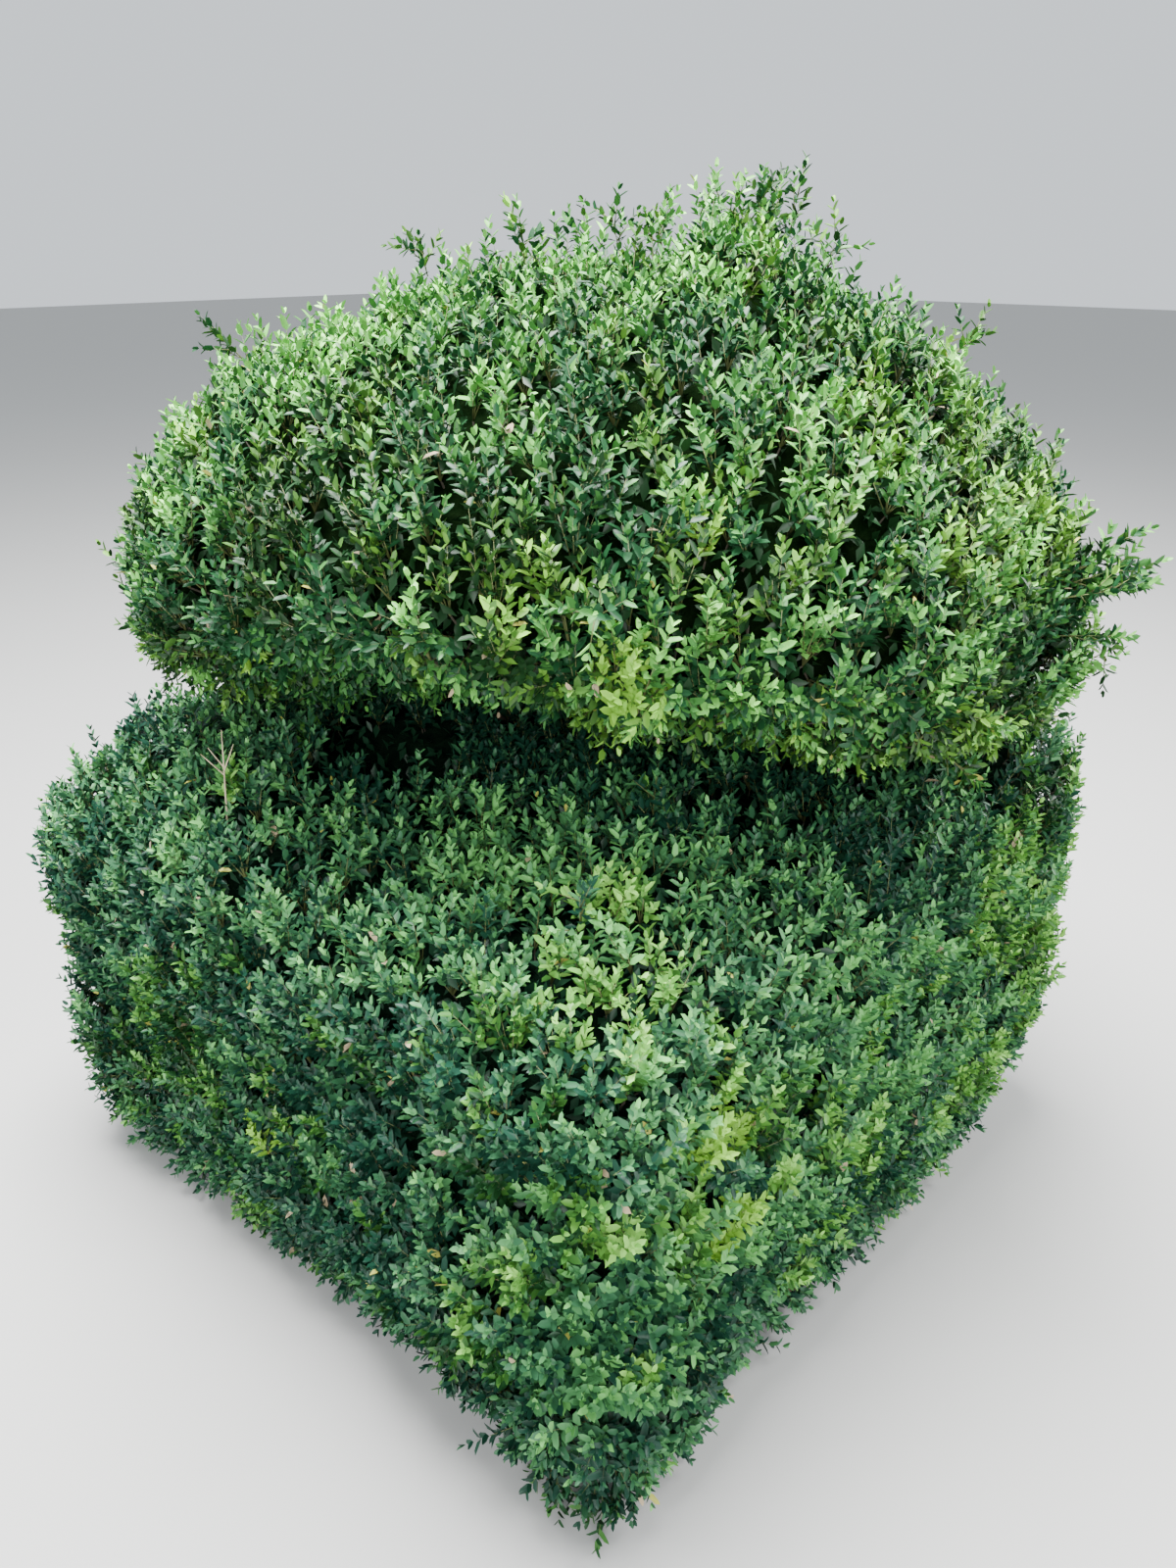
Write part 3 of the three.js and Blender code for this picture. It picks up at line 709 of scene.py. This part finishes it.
def mottling_group():
    """Patches of two colours with a fine rough surface, on Object coordinates."""
    group = bpy.data.node_groups.new("mottling", "ShaderNodeTree")
    sockets = [
        ("Dark", "INPUT", "Color"), ("Light", "INPUT", "Color"), ("Scale", "INPUT", "Float"),
        ("Stretch", "INPUT", "Vector"), ("Color", "OUTPUT", "Color"), ("Height", "OUTPUT", "Float"),
    ]
    for name, direction, kind in sockets:
        group.interface.new_socket(name, in_out=direction, socket_type=f"NodeSocket{kind}")
    nodes = group.nodes
    link = group.links.new
    given = nodes.new("NodeGroupInput")
    result = nodes.new("NodeGroupOutput")
    place = nodes.new("ShaderNodeTexCoord")
    stretch = nodes.new("ShaderNodeVectorMath")
    stretch.operation = "MULTIPLY"
    grain = nodes.new("ShaderNodeTexNoise")
    grain.inputs["Detail"].default_value = 6
    grain.inputs["Roughness"].default_value = 0.65
    contrast = nodes.new("ShaderNodeMapRange")
    contrast.inputs["From Min"].default_value = 0.35
    contrast.inputs["From Max"].default_value = 0.65
    blend = nodes.new("ShaderNodeMix")
    blend.data_type = "RGBA"
    link(place.outputs["Object"], stretch.inputs[0])
    link(given.outputs["Stretch"], stretch.inputs[1])
    link(stretch.outputs["Vector"], grain.inputs["Vector"])
    link(given.outputs["Scale"], grain.inputs["Scale"])
    link(grain.outputs["Fac"], contrast.inputs["Value"])
    link(contrast.outputs["Result"], blend.inputs["Factor"])
    link(given.outputs["Dark"], blend.inputs["A"])
    link(given.outputs["Light"], blend.inputs["B"])
    link(blend.outputs["Result"], result.inputs["Color"])
    link(grain.outputs["Fac"], result.inputs["Height"])
    return group


MOTTLING = mottling_group()


def mottled_finish(name, dark, light, scale, stretch, roughness, bump, specular=0.2):
    """A rough finish whose colour and bump come from the mottling group."""
    material = plain_finish(name, light, roughness, specular)
    nodes = material.node_tree.nodes
    link = material.node_tree.links.new
    shader = nodes["Principled BSDF"]
    mottling = nodes.new("ShaderNodeGroup")
    mottling.node_tree = MOTTLING
    mottling.inputs["Dark"].default_value = (*dark, 1)
    mottling.inputs["Light"].default_value = (*light, 1)
    mottling.inputs["Scale"].default_value = scale
    mottling.inputs["Stretch"].default_value = stretch
    relief = nodes.new("ShaderNodeBump")
    relief.inputs["Distance"].default_value = bump
    link(mottling.outputs["Color"], shader.inputs["Base Color"])
    link(mottling.outputs["Height"], relief.inputs["Height"])
    link(relief.outputs["Normal"], shader.inputs["Normal"])
    return material


def bark_finish():
    return mottled_finish(
        "bark", dark=(0.05, 0.04, 0.03), light=(0.16, 0.13, 0.09), scale=40, stretch=(1, 1, 0.18),
        roughness=0.9, bump=0.002,
    )


# The core's near-black colour is painted shade for the deep inside of the mass
def core_shade_finish(form):
    dark, light = CORE_SHADE_TINTS[form.name]
    return mottled_finish(
        f"core_{form.name}", dark, light, scale=45, stretch=(1, 1, 1), roughness=1.0, bump=0.006,
        specular=0,
    )


def dead_finish():
    return mottled_finish(
        "dead_wood", dark=(0.34, 0.28, 0.18), light=(0.56, 0.48, 0.33), scale=90, stretch=(1, 1, 0.3),
        roughness=0.85, bump=0.001,
    )


def leaf_finish(form, name, colour):
    return plain_finish(f"leaf_{form.name}_{name}", colour, LEAF_ROUGHNESS, LEAF_GLOSS)


# Limbs: the stem and the boughs, along the part's own curves

def curve_points(controls, steps):
    """Points along a Bezier curve of any order."""
    points = []
    for part in np.linspace(0, 1, steps + 1):
        line = [np.array(control, float) for control in controls]
        while len(line) > 1:
            line = [a + (b - a) * part for a, b in zip(line, line[1:])]
        points.append(line[0])
    return np.array(points)


def bough_controls(kind, index):
    shape = BOUGH_KINDS[kind]
    turn = FULL_TURN * (index / shape["count"] + shape["first"])
    out = np.array([math.cos(turn), math.sin(turn), 0.0])
    across = np.array([-out[1], out[0], 0.0])
    part = shape["foot"] / STEM_FORK
    start = np.array([STEM_LEAN[0] * part ** 2, STEM_LEAN[1] * part ** 2, shape["foot"]])
    end = out * shape["ring"] + UP * shape["tip"]
    if kind == "side":
        return [start, (start + end) / 2 + across * shape["bend"], end]
    end = end + np.array([*BALL_CENTRE, 0.0])
    if kind == "leader":
        middle = np.array([start[0], start[1], (shape["foot"] + shape["tip"]) / 2])
        return [start, middle + across * shape["bend"], end]
    leaving = start + out * shape["ring"] + UP * RISER_START_LIFT
    arriving = end - UP * RISER_END_DROP - out * RISER_END_IN * shape["ring"] + across * shape["bend"]
    return [start, leaving, arriving, end]


def tube(name, points, radii, smoothness):
    """A closed tube along a line of points, each with its own radius."""
    bpy.ops.object.select_all(action="DESELECT")
    bpy.ops.curve.primitive_bezier_curve_add()
    piece = bpy.context.object
    piece.name = name
    shape = piece.data
    shape.splines.clear()
    spline = shape.splines.new("POLY")
    spline.points.add(len(points) - 1)
    for mark, place, radius in zip(spline.points, points, radii):
        mark.co = (*place, 1)
        mark.radius = radius
    shape.bevel_depth = 1
    shape.bevel_resolution = smoothness
    shape.use_fill_caps = True
    piece.location = (0, 0, 0)
    bpy.ops.object.convert(target="MESH")
    return bpy.context.object


def subdivided(piece):
    select_only(piece)
    finer = piece.modifiers.new("finer", "SUBSURF")
    finer.levels = 1
    finer.render_levels = 1
    bpy.ops.object.modifier_apply(modifier=finer.name)
    return piece


def roughen(piece, relief, grain, along=None):
    """Roughens a piece, with its grain drawn out along a direction where one is given."""
    select_only(piece)
    pattern = bpy.data.textures.new("grain", "CLOUDS")
    pattern.noise_scale = grain
    pattern.noise_depth = 3
    raised = piece.modifiers.new("raised", "DISPLACE")
    raised.texture = pattern
    raised.strength = relief
    if along is not None:
        bpy.ops.object.empty_add()
        stretcher = bpy.context.object
        stretcher.rotation_euler = Vector(along).to_track_quat("Z", "Y").to_euler()
        stretcher.scale = (1, 1, BARK_STRETCH)
        bpy.context.view_layer.update()
        raised.texture_coords = "OBJECT"
        raised.texture_coords_object = stretcher
        select_only(piece)
        bpy.ops.object.modifier_apply(modifier=raised.name)
        bpy.data.objects.remove(stretcher)
    else:
        raised.texture_coords = "LOCAL"
        bpy.ops.object.modifier_apply(modifier=raised.name)


def bark_limb(name, points, radii, smoothness, material):
    piece = tube(name, points, radii, smoothness)
    roughen(subdivided(piece), BARK_RELIEF, BARK_GRAIN, along=points[-1] - points[0])
    bpy.ops.object.shade_smooth()
    piece.data.materials.clear()
    piece.data.materials.append(material)
    return piece


def cut_flat(piece, height):
    """Takes off what lies below a level and closes the cut."""
    select_only(piece)
    bpy.ops.object.mode_set(mode="EDIT")
    bpy.ops.mesh.select_all(action="SELECT")
    bpy.ops.mesh.bisect(plane_co=(0, 0, height), plane_no=(0, 0, 1), clear_inner=True, use_fill=True)
    bpy.ops.object.mode_set(mode="OBJECT")
    return piece


def stem(bark):
    """The stem with its root flare, cut flat at the ground."""
    points = curve_points(STEM_CONTROLS, LIMB_STEPS)
    part = np.linspace(0, 1, LIMB_STEPS + 1)
    radii = STEM_RADIUS * (1 - STEM_THINS * part) + STEM_FLARE * (1 - part) ** FLARE_POWER
    points = np.concatenate([points[:1] - UP * BELOW_CUT, points])
    radii = np.concatenate([radii[:1], radii])
    piece = bark_limb("trunk_bark", points, radii, STEM_SMOOTHNESS, bark)
    keep(cut_flat(piece, 0), "bark", "trunk")


def boughs(bark):
    """The boughs, each replacing its node. Gives the tips of those that feed each mass."""
    tips = {"block": [], "ball": []}
    for kind, shape in BOUGH_KINDS.items():
        for index in range(shape["count"]):
            node = f"bough_{kind}_{index + 1}" if shape["count"] > 1 else f"bough_{kind}"
            points = curve_points(bough_controls(kind, index), LIMB_STEPS)
            radii = np.linspace(shape["thick"], shape["thin"], LIMB_STEPS + 1)
            keep(bark_limb(f"{node}_bark", points, radii, BOUGH_SMOOTHNESS, bark), "bark", node)
            tips["block" if kind == "side" else "ball"].append(points[-1])
    return {name: np.array(ends) for name, ends in tips.items()}


# Cores: what shows dark between the leaves, coloured near black as painted shade

def core(form, material):
    """A sphere pushed out to a form's surface, less the depth that the leaves take up."""
    bpy.ops.object.select_all(action="DESELECT")
    bpy.ops.mesh.primitive_uv_sphere_add(segments=CORE_SEGMENTS, ring_count=CORE_RINGS, radius=1)
    piece = bpy.context.object
    piece.name = f"core_{form.name}"
    corners = np.array([vertex.co for vertex in piece.data.vertices])
    turn = np.arctan2(corners[:, 1], corners[:, 0]) / FULL_TURN % 1
    along = np.arccos(np.clip(-corners[:, 2], -1, 1)) / math.pi
    points, normals = form.place(turn, along)
    points += normals * (surface_relief(form, points) - CORE_DEPTH)[:, None]
    pole = np.hypot(corners[:, 0], corners[:, 1]) < POLE_REACH
    points[pole, :2] = form.centre[:2]
    points[:, 2] = np.maximum(points[:, 2], form.low + CORE_FOOT)
    for vertex, point in zip(piece.data.vertices, points):
        vertex.co = point
    roughen(piece, CORE_RELIEF, CORE_GRAIN)
    piece.data.materials.append(material)
    return piece


# Twigs: three-sided, thick at the root and thin at the tip

def three_sided(ways):
    """Three directions round each way."""
    first, second = square_to(ways)
    turns = FULL_TURN * np.arange(3) / 3
    return first[:, None] * np.cos(turns)[:, None] + second[:, None] * np.sin(turns)[:, None]


def pointed_arrays(roots, tips, foot_radius):
    """Corners and faces of three-sided twigs that end in a point."""
    ring = three_sided(unit(tips - roots))
    points = np.concatenate([roots[:, None] + ring * foot_radius, tips[:, None]], axis=1)
    return joined_arrays(points, np.array([[0, 1, 3], [1, 2, 3], [2, 0, 3], [2, 1, 0]]))


def twig_arrays(roots, tips, foot_radius, tip_radius):
    """Corners and faces of straight three-sided twigs, closed at both ends."""
    ring = three_sided(unit(tips - roots))
    points = np.concatenate([
        roots[:, None] + ring * np.reshape(foot_radius, (-1, 1, 1)),
        tips[:, None] + ring * np.reshape(tip_radius, (-1, 1, 1)),
    ], axis=1)
    faces = np.array([
        [0, 1, 4], [0, 4, 3], [1, 2, 5], [1, 5, 4], [2, 0, 3], [2, 3, 5], [2, 1, 0], [3, 4, 5],
    ])
    return joined_arrays(points, faces)


def joined_arrays(points, faces):
    """One set of corners and faces from many copies of a shape."""
    copies, corners = points.shape[:2]
    offsets = np.arange(copies)[:, None, None] * corners
    return points.reshape(-1, 3), (faces[None] + offsets).reshape(-1, faces.shape[1])


# Sprays of shoots

def spray_heading(points, normals, rng):
    """Sprays lean up from the surface, but hang level on the underside and by the ground."""
    lift = LEAN_UP * np.clip(1 + normals[:, 2], 0, 1) ** 2 * np.minimum(1, points[:, 2] / FOOT_RISE)
    sway = LEAN_SWAY * (rng.random((len(points), 3)) - 0.5)
    return unit(normals * LEAN_OUT + UP * lift[:, None] + sway)


def grown_from(points, ways, normals, depth):
    """Where lines that come to the surface along the given ways cross a depth below it."""
    return points - ways * depth / np.maximum(LEAST_SLOPE, dots(ways, normals))[:, None]


def spray_shoots(form, points, normals, ways, forks, rng):
    """The shoots that fan out of each fork to a rounded tuft at the surface: where each starts
    and ends, which spray it is on, and which way is out."""
    first, second = square_to(normals)
    sunk = TUFT_HEIGHT * mottle(points, TUFT_SIZE)
    on_top = np.clip(normals[:, 2], 0, 1)
    long_share = LONG_SHARE + LONG_SHARE_ON_TOP * on_top
    long_reach = LONG_REACH + LONG_REACH_ON_TOP * on_top + patched(LONG_PATCHES[form.name], points)
    nearest_depth, farthest_depth = SHOOT_TIP_DEPTHS
    found = []
    for index in range(SPRAY_SHOOTS):
        turn = index * GOLDEN_TURN + FULL_TURN * rng.random(len(points))
        reach = SPRAY_REACH * np.sqrt((index + RING_JITTER * rng.random(len(points))) / SPRAY_SHOOTS)
        depth = nearest_depth + (farthest_depth - nearest_depth) * rng.random(len(points)) + sunk
        depth += SPRAY_ROUNDING * (reach / SPRAY_REACH) ** 2
        stands_out = (rng.random(len(points)) < long_share) * long_reach * rng.random(len(points))
        aside = first * (reach * np.cos(turn))[:, None] + second * (reach * np.sin(turn))[:, None]
        tips = points + aside - normals * depth[:, None] + ways * stands_out[:, None]
        found.append({"root": forks, "tip": tips, "spray": np.arange(len(points)), "out": normals})
    return together(found)


def stray_shoots(form, spray_count, rng):
    """Long shoots with shorter ones at their sides."""
    roots = []
    tips = []
    outs = []
    for turn, along, bearing, rise, length in STRAYS[form.name]:
        point, normal = form.place(np.array([turn]), np.array([along]))
        start = point[0] - normal[0] * STRAY_DEPTH
        way = heading(bearing, rise)
        roots.append(start)
        tips.append(start + way * length)
        outs.append(normal[0])
        for index in range(STRAY_SIDE_SHOOTS):
            fork = start + way * length * STRAY_SIDE_STEP * (index + 1)
            aside = unit(way + STRAY_SIDE_SPREAD * rng.standard_normal(3))
            roots.append(fork)
            tips.append(fork + aside * STRAY_SIDE_LENGTH)
            outs.append(normal[0])
    spray = rng.integers(0, spray_count, len(roots))
    return {"root": np.array(roots), "tip": np.array(tips), "spray": spray, "out": np.array(outs)}


# Leaves

def leaf_template(corners, widest, tapers):
    """One leaf as a ring of corners from its root up one side and down the other, folded along
    its midrib: how far along it is widest, and how its corners beyond that draw in."""
    bpy.ops.object.select_all(action="DESELECT")
    bpy.ops.mesh.primitive_circle_add(vertices=corners, radius=0.5, fill_type="NGON")
    piece = bpy.context.object
    ring = np.array([vertex.co for vertex in piece.data.vertices])
    bpy.data.objects.remove(piece)
    ring = ring[np.argsort(np.arctan2(ring[:, 0], -ring[:, 1]) % FULL_TURN)]
    along = ring[:, 1] + 0.5
    aside = np.sign(np.round(ring[:, 0], 3)) * np.where(along > LEAF_TIP_FROM, tapers, 1) / 2
    along = along + (widest - 0.5) * (1 - np.abs(2 * along - 1))
    folded = LEAF_FOLD * np.abs(aside) - LEAF_DROOP * along ** 2
    return np.stack([aside * LEAF_SHAPE, along, folded], axis=-1)


OVAL_FACES = np.array([[0, 1, 2, 3], [0, 3, 4, 5]])
KITE_FACES = np.array([[0, 1, 2], [0, 2, 3]])


def leaf_corners(leaves, template):
    """The corners of each leaf, one copy of the template each."""
    across = unit(np.cross(leaves["way"], leaves["face"]))
    up = np.cross(across, leaves["way"])
    length = leaves["length"][:, None, None]
    return leaves["root"][:, None] + length * (
        across[:, None] * template[:, 0, None]
        + leaves["way"][:, None] * template[:, 1, None]
        + up[:, None] * template[:, 2, None]
    )


def varied(count, rng):
    """Shares near 1 that make leaves longer or shorter."""
    return 1 + LEAF_VARIES * (2 * rng.random(count) - 1)


def leaves_on(shoots, leaf_lengths, rng):
    """Crossed pairs of leaves, from the tip of each shoot down its leafy share."""
    way = shoots["tip"] - shoots["root"]
    length = np.linalg.norm(way, axis=1)
    way = unit(way)
    pairs = np.clip(np.round(length * LEAFY_SHARE / PAIR_GAP), 2, MOST_PAIRS)
    first, second = square_to(way)
    twist = FULL_TURN * rng.random(len(way))
    found = []
    for pair in range(MOST_PAIRS):
        has = pairs > pair
        count = int(has.sum())
        if count == 0:
            break
        opening = OPEN_AT_TIP + (OPEN_AT_FOOT - OPEN_AT_TIP) * min(1, pair / OPENING_PAIRS)
        size = YOUNG_SIZES[pair] if pair < len(YOUNG_SIZES) else 1.0
        root = shoots["tip"][has] - way[has] * (pair * PAIR_GAP)
        for side in (0, math.pi):
            turn = twist[has] + pair * math.pi / 2 + side
            out = first[has] * np.cos(turn)[:, None] + second[has] * np.sin(turn)[:, None]
            angle = opening * (1 + LEAF_SWAY * rng.standard_normal(count))[:, None]
            sway = scatter(count, LEAF_SWAY, rng)
            direction = unit(way[has] * np.cos(angle) + out * np.sin(angle) + sway)
            face = way[has] * np.sin(angle) - out * np.cos(angle)
            face += FACE_TO_SKY * (shoots["out"][has] + UP)
            found.append({
                "root": root,
                "way": direction,
                "face": face,
                "length": size * varied(count, rng) * leaf_lengths[has],
                "spray": shoots["spray"][has],
                "pair": np.full(count, pair),
            })
    return together(found)


def inner_leaves(form, rng):
    """Dim leaves scattered close over the core, where light hardly reaches."""
    points, normals = form.places(INNER_GAP, rng)
    count = len(points)
    depth = rng.uniform(*INNER_DEPTHS, count)
    points = points + normals * (surface_relief(form, points) - depth)[:, None]
    way = normals * INNER_LEAN_OUT + UP * INNER_LEAN_UP + scatter(count, INNER_SCATTER, rng)
    face = normals + UP * INNER_FACE_UP + scatter(count, INNER_FACE_SCATTER, rng)
    return {"root": points, "way": unit(way), "face": face, "length": INNER_LENGTH * varied(count, rng)}


# Tints of the leaves, spray by spray

def spray_tints(form, points, rng):
    """Each spray's level, from 0 for old up, whether it takes the second family, and whether it
    is young. The level carries both the leaves' age and painted light and shade."""
    light = patched(AGE_AND_LIGHTING_PATCHES[form.name], points)
    light += LIGHT_MOTTLE * mottle(points, LIGHT_MOTTLE_SIZE)
    light += LIGHT_SCATTER * rng.standard_normal(len(points))
    second = patched(SECOND_PATCHES[form.name], points)
    second += SECOND_MOTTLE * mottle(points + SECOND_MOTTLE_SHIFT, SECOND_MOTTLE_SIZE)
    second += SECOND_SCATTER * rng.standard_normal(len(points))
    young = rng.random(len(points)) < YOUNG_SHARE[form.name] + patched(YOUNG_PATCHES[form.name], points)
    return np.digitize(light, LIGHT_STEPS), (second > SECOND_STEP[form.name]).astype(int), young


def by_pair(shares, pair):
    """The share that goes with each pair, the last one for all that are farther back."""
    return np.array(shares)[np.minimum(pair, len(shares) - 1)]


def leaf_tints(leaves, levels, second, young, rng):
    """Which tint each leaf takes: its spray's, but older at the foot and fresher at the tip."""
    count = len(leaves["spray"])
    chance = rng.random(count)
    lighter = chance < by_pair(LIGHTER, leaves["pair"])
    darker = chance > 1 - by_pair(DARKER, leaves["pair"])
    level = levels[leaves["spray"]] + lighter.astype(int) - darker
    tint = np.clip(level, 0, len(LEVELS) - 1) + len(LEVELS) * second[leaves["spray"]]
    odd_ones = 2 * len(LEVELS)
    tint = np.where(young[leaves["spray"]] & (leaves["pair"] < OUTER_PAIRS), odd_ones, tint)
    odd = rng.random(count)
    tint = np.where(odd < YELLOW_SHARE, odd_ones + 1, tint)
    return np.where(odd > 1 - TAN_SHARE, odd_ones + 2, tint)


def tint_list(form):
    names = []
    for family, colours in LEAF_TINTS[form.name].items():
        for level, colour in zip(LEVELS, colours):
            names.append((f"{family}_{level}", colour))
    return names + [("young", YOUNG_TINT), ("yellow", YELLOW_TINT), ("tan", TAN_TINT)]


# Branches that carry the sprays, from the tips of the boughs

def deep_inside(places, points, normals):
    """Which places lie well behind the surface."""
    apart = np.linalg.norm(places[:, None] - points[None], axis=2)
    closest = np.argmin(apart, axis=1)
    return dots(places - points[closest], normals[closest]) < -HIDDEN_DEPTH


def nearest(points, targets):
    """For each point, the closest of the targets."""
    apart = np.linalg.norm(points[:, None] - targets[None], axis=2)
    return targets[np.argmin(apart, axis=1)]


def inner_branches(form, spray_roots, bough_tips, rng):
    """From each bough tip to knots inside the mass, and from the knots to the sprays' roots."""
    points, normals = form.places(BRANCH_GAP, rng)
    knots = points - normals * BRANCH_DEPTH
    starts = nearest(knots, bough_tips)
    forks = nearest(spray_roots, knots)
    thick, thin = BRANCH_RADII
    fork_radius = thin * BRANCH_FORK_SHARE
    radii = np.concatenate([np.full(len(knots), thick), np.full(len(spray_roots), fork_radius)])
    tips = np.concatenate([np.full(len(knots), thin), np.full(len(spray_roots), BRANCHLET_RADIUS)])
    roots = np.concatenate([starts, forks])
    ends = np.concatenate([knots, spray_roots])
    hidden = deep_inside((roots + ends) / 2, points, normals)
    return twig_arrays(roots[hidden], ends[hidden], radii[hidden], tips[hidden])


# Each mass, kept to its own space

def within(form, corners):
    """Which shapes keep to the form's own space."""
    return (corners[:, :, 2].min(axis=1) > form.low) & (corners[:, :, 2].max(axis=1) < form.high)


def leaf_piece(form, slot, name, leaves, template, faces, finish):
    """A piece of those leaves that keep to the form's own space."""
    corners = leaf_corners(leaves, template)
    corners = corners[within(form, corners)]
    points, faces = joined_arrays(corners, faces)
    keep(mesh_piece(f"leaves_{form.name}_{name}", points, faces, finish), slot)


def leaf_pieces(form, slot, leaves, tint):
    """The leaves of all sprays: a piece for each tint of the outer leaves and of the inner ones."""
    outer = leaves["pair"] < OUTER_PAIRS
    shapes = [
        ("outer", outer, leaf_template(**OUTER_LEAF), OVAL_FACES),
        ("inner", ~outer, leaf_template(**INNER_LEAF), KITE_FACES),
    ]
    for index, (name, colour) in enumerate(tint_list(form)):
        finish = leaf_finish(form, name, colour)
        for part, where, template, faces in shapes:
            chosen = where & (tint == index)
            if chosen.any():
                picked = {key: values[chosen] for key, values in leaves.items()}
                leaf_piece(form, slot, f"{name}_{part}", picked, template, faces, finish)


def twig_piece(form, name, material, arrays_of, roots, tips, *radii):
    """A piece of those twigs that keep to the form's own space."""
    inside = within(form, np.stack([roots, tips], axis=1))
    points, faces = arrays_of(roots[inside], tips[inside], *radii)
    keep(mesh_piece(f"{name}_{form.name}", points, faces, material), "bark")


def sprays(form, rng):
    """For each spray that grows: its place and the way that the surface faces there, its own way,
    its fork and its root, and what tints it takes."""
    points, normals = form.places(SPRAY_GAP, rng)
    levels, second, young = spray_tints(form, points, rng)
    points = points + normals * surface_relief(form, points)[:, None]
    way = spray_heading(points, normals, rng)
    forks = grown_from(points, way, normals, FORK_DEPTH)
    inward = unit(way * ROOT_LEANS + normals * (1 - ROOT_LEANS))
    roots = grown_from(forks, inward, normals, ROOT_DEPTH - FORK_DEPTH)
    grows = deep_inside(forks, points, normals) & deep_inside(roots, points, normals)
    grows &= rng.random(len(points)) > patched(BARE_PATCHES[form.name], points)
    return [values[grows] for values in (points, normals, way, forks, roots, levels, second, young)]


def foliage(form, slot, bough_tips, wood):
    """One mass of leaves, shoots, branchlets and branches."""
    rng = np.random.default_rng(SEEDS[form.name])
    points, normals, way, forks, roots, *spray_tint = sprays(form, rng)
    clipped = spray_shoots(form, points, normals, way, forks, rng)
    shoots = together([clipped, stray_shoots(form, len(forks), rng)])
    lengths = LEAF_LENGTH[form.name] * (1 + patched(LARGE_LEAVES[form.name], shoots["tip"]))
    leaves = leaves_on(shoots, lengths, rng)
    leaf_pieces(form, slot, leaves, leaf_tints(leaves, *spray_tint, rng))
    dim = leaf_finish(form, "dim", DIM_TINTS[form.name])
    leaf_piece(form, slot, "dim", inner_leaves(form, rng), leaf_template(**INNER_LEAF), KITE_FACES, dim)
    twig_piece(form, "shoots", wood["shoot"], pointed_arrays, shoots["root"], shoots["tip"], SHOOT_RADIUS)
    branchlets = (roots, forks, BRANCHLET_RADIUS, SHOOT_RADIUS)
    twig_piece(form, "branchlets", wood["branchlet"], twig_arrays, *branchlets)
    points, faces = inner_branches(form, roots[within(form, roots[:, None])], bough_tips, rng)
    keep(mesh_piece(f"branches_{form.name}", points, faces, wood["branchlet"]), "bark")


# The dead twig on the block's shoulder

def dead_twig(material):
    """A bare shoot with forks near its tip."""
    bearing, rise, length = DEAD_SHOOT
    foot = np.array(DEAD_FOOT)
    way = heading(bearing, rise)
    part = np.linspace(0, 1, DEAD_STEPS + 1)
    radii = DEAD_THICK * (1 - DEAD_THINS * part)
    main = tube("dead_twig_shoot", foot + np.outer(part * length, way), radii, 1)
    arms = [main]
    part = np.linspace(0, 1, DEAD_FORK_STEPS + 1)
    radii = DEAD_THICK * np.linspace(*DEAD_FORK_SHARES, DEAD_FORK_STEPS + 1)
    for along, bearing, rise, reach in DEAD_FORKS:
        line = foot + way * length * along + np.outer(part * reach, heading(bearing, rise))
        arms.append(tube("dead_twig_fork", line, radii, 1))
    select_only(main)
    for arm in arms:
        arm.select_set(True)
    bpy.ops.object.join()
    roughen(subdivided(main), DEAD_RELIEF, DEAD_GRAIN, along=way)
    main.name = "dead_twig_bark"
    main.data.materials.clear()
    main.data.materials.append(material)
    keep(main, "dead_wood", "dead_twig")


# Camera, floor and light

def camera():
    """The eye of the photo, with its tilt and lens."""
    tilt = (math.radians(90 - LOOKS_DOWN), 0, math.radians(LOOKS_ALONG - 90))
    bpy.ops.object.camera_add(location=EYE, rotation=tilt)
    eye = bpy.context.object
    eye.data.lens = LENS
    bpy.context.scene.camera = eye


def floor():
    bpy.ops.mesh.primitive_plane_add(size=FLOOR_SIDE)
    piece = bpy.context.object
    piece.name = "floor"
    piece.data.materials.append(plain_finish("floor", (0.42, 0.42, 0.41), 0.9, specular=0.1))


def softbox(name, place, size, power):
    """A round soft lamp turned to the middle of the plant."""
    bpy.ops.object.light_add(type="AREA", location=place)
    light = bpy.context.object
    light.name = name
    light.data.shape = "DISK"
    light.data.size = size
    light.data.energy = power
    ahead = Vector((0, 0, LIGHTS_AIM)) - Vector(place)
    light.rotation_euler = ahead.to_track_quat("-Z", "Y").to_euler()


def lights():
    softbox("overhead", (-0.4, 0.3, 5.0), 3.0, 1500)
    softbox("side", (3.6, -2.6, 3.4), 2.5, 300)
    softbox("front", (-3.4, -3.2, 2.6), 3.0, 260)
    world = bpy.data.worlds.new("studio")
    world.use_nodes = True
    sky = world.node_tree.nodes["Background"]
    sky.inputs["Color"].default_value = (*SKY_TINT, 1)
    sky.inputs["Strength"].default_value = SKY_STRENGTH
    bpy.context.scene.world = world


camera()
floor()
lights()
bark = bark_finish()
stem(bark)
bough_tips = boughs(bark)
wood = {
    "shoot": plain_finish("shoot_wood", SHOOT_TINT, 0.6),
    "branchlet": plain_finish("branchlet_wood", BRANCHLET_TINT, 0.8),
}
keep(core(BLOCK, core_shade_finish(BLOCK)), "leaves_block", "foliage_block")
keep(core(BALL, core_shade_finish(BALL)), "leaves_ball", "foliage_ball")
foliage(BLOCK, "leaves_block", bough_tips["block"], wood)
foliage(BALL, "leaves_ball", bough_tips["ball"], wood)
dead_twig(dead_finish())
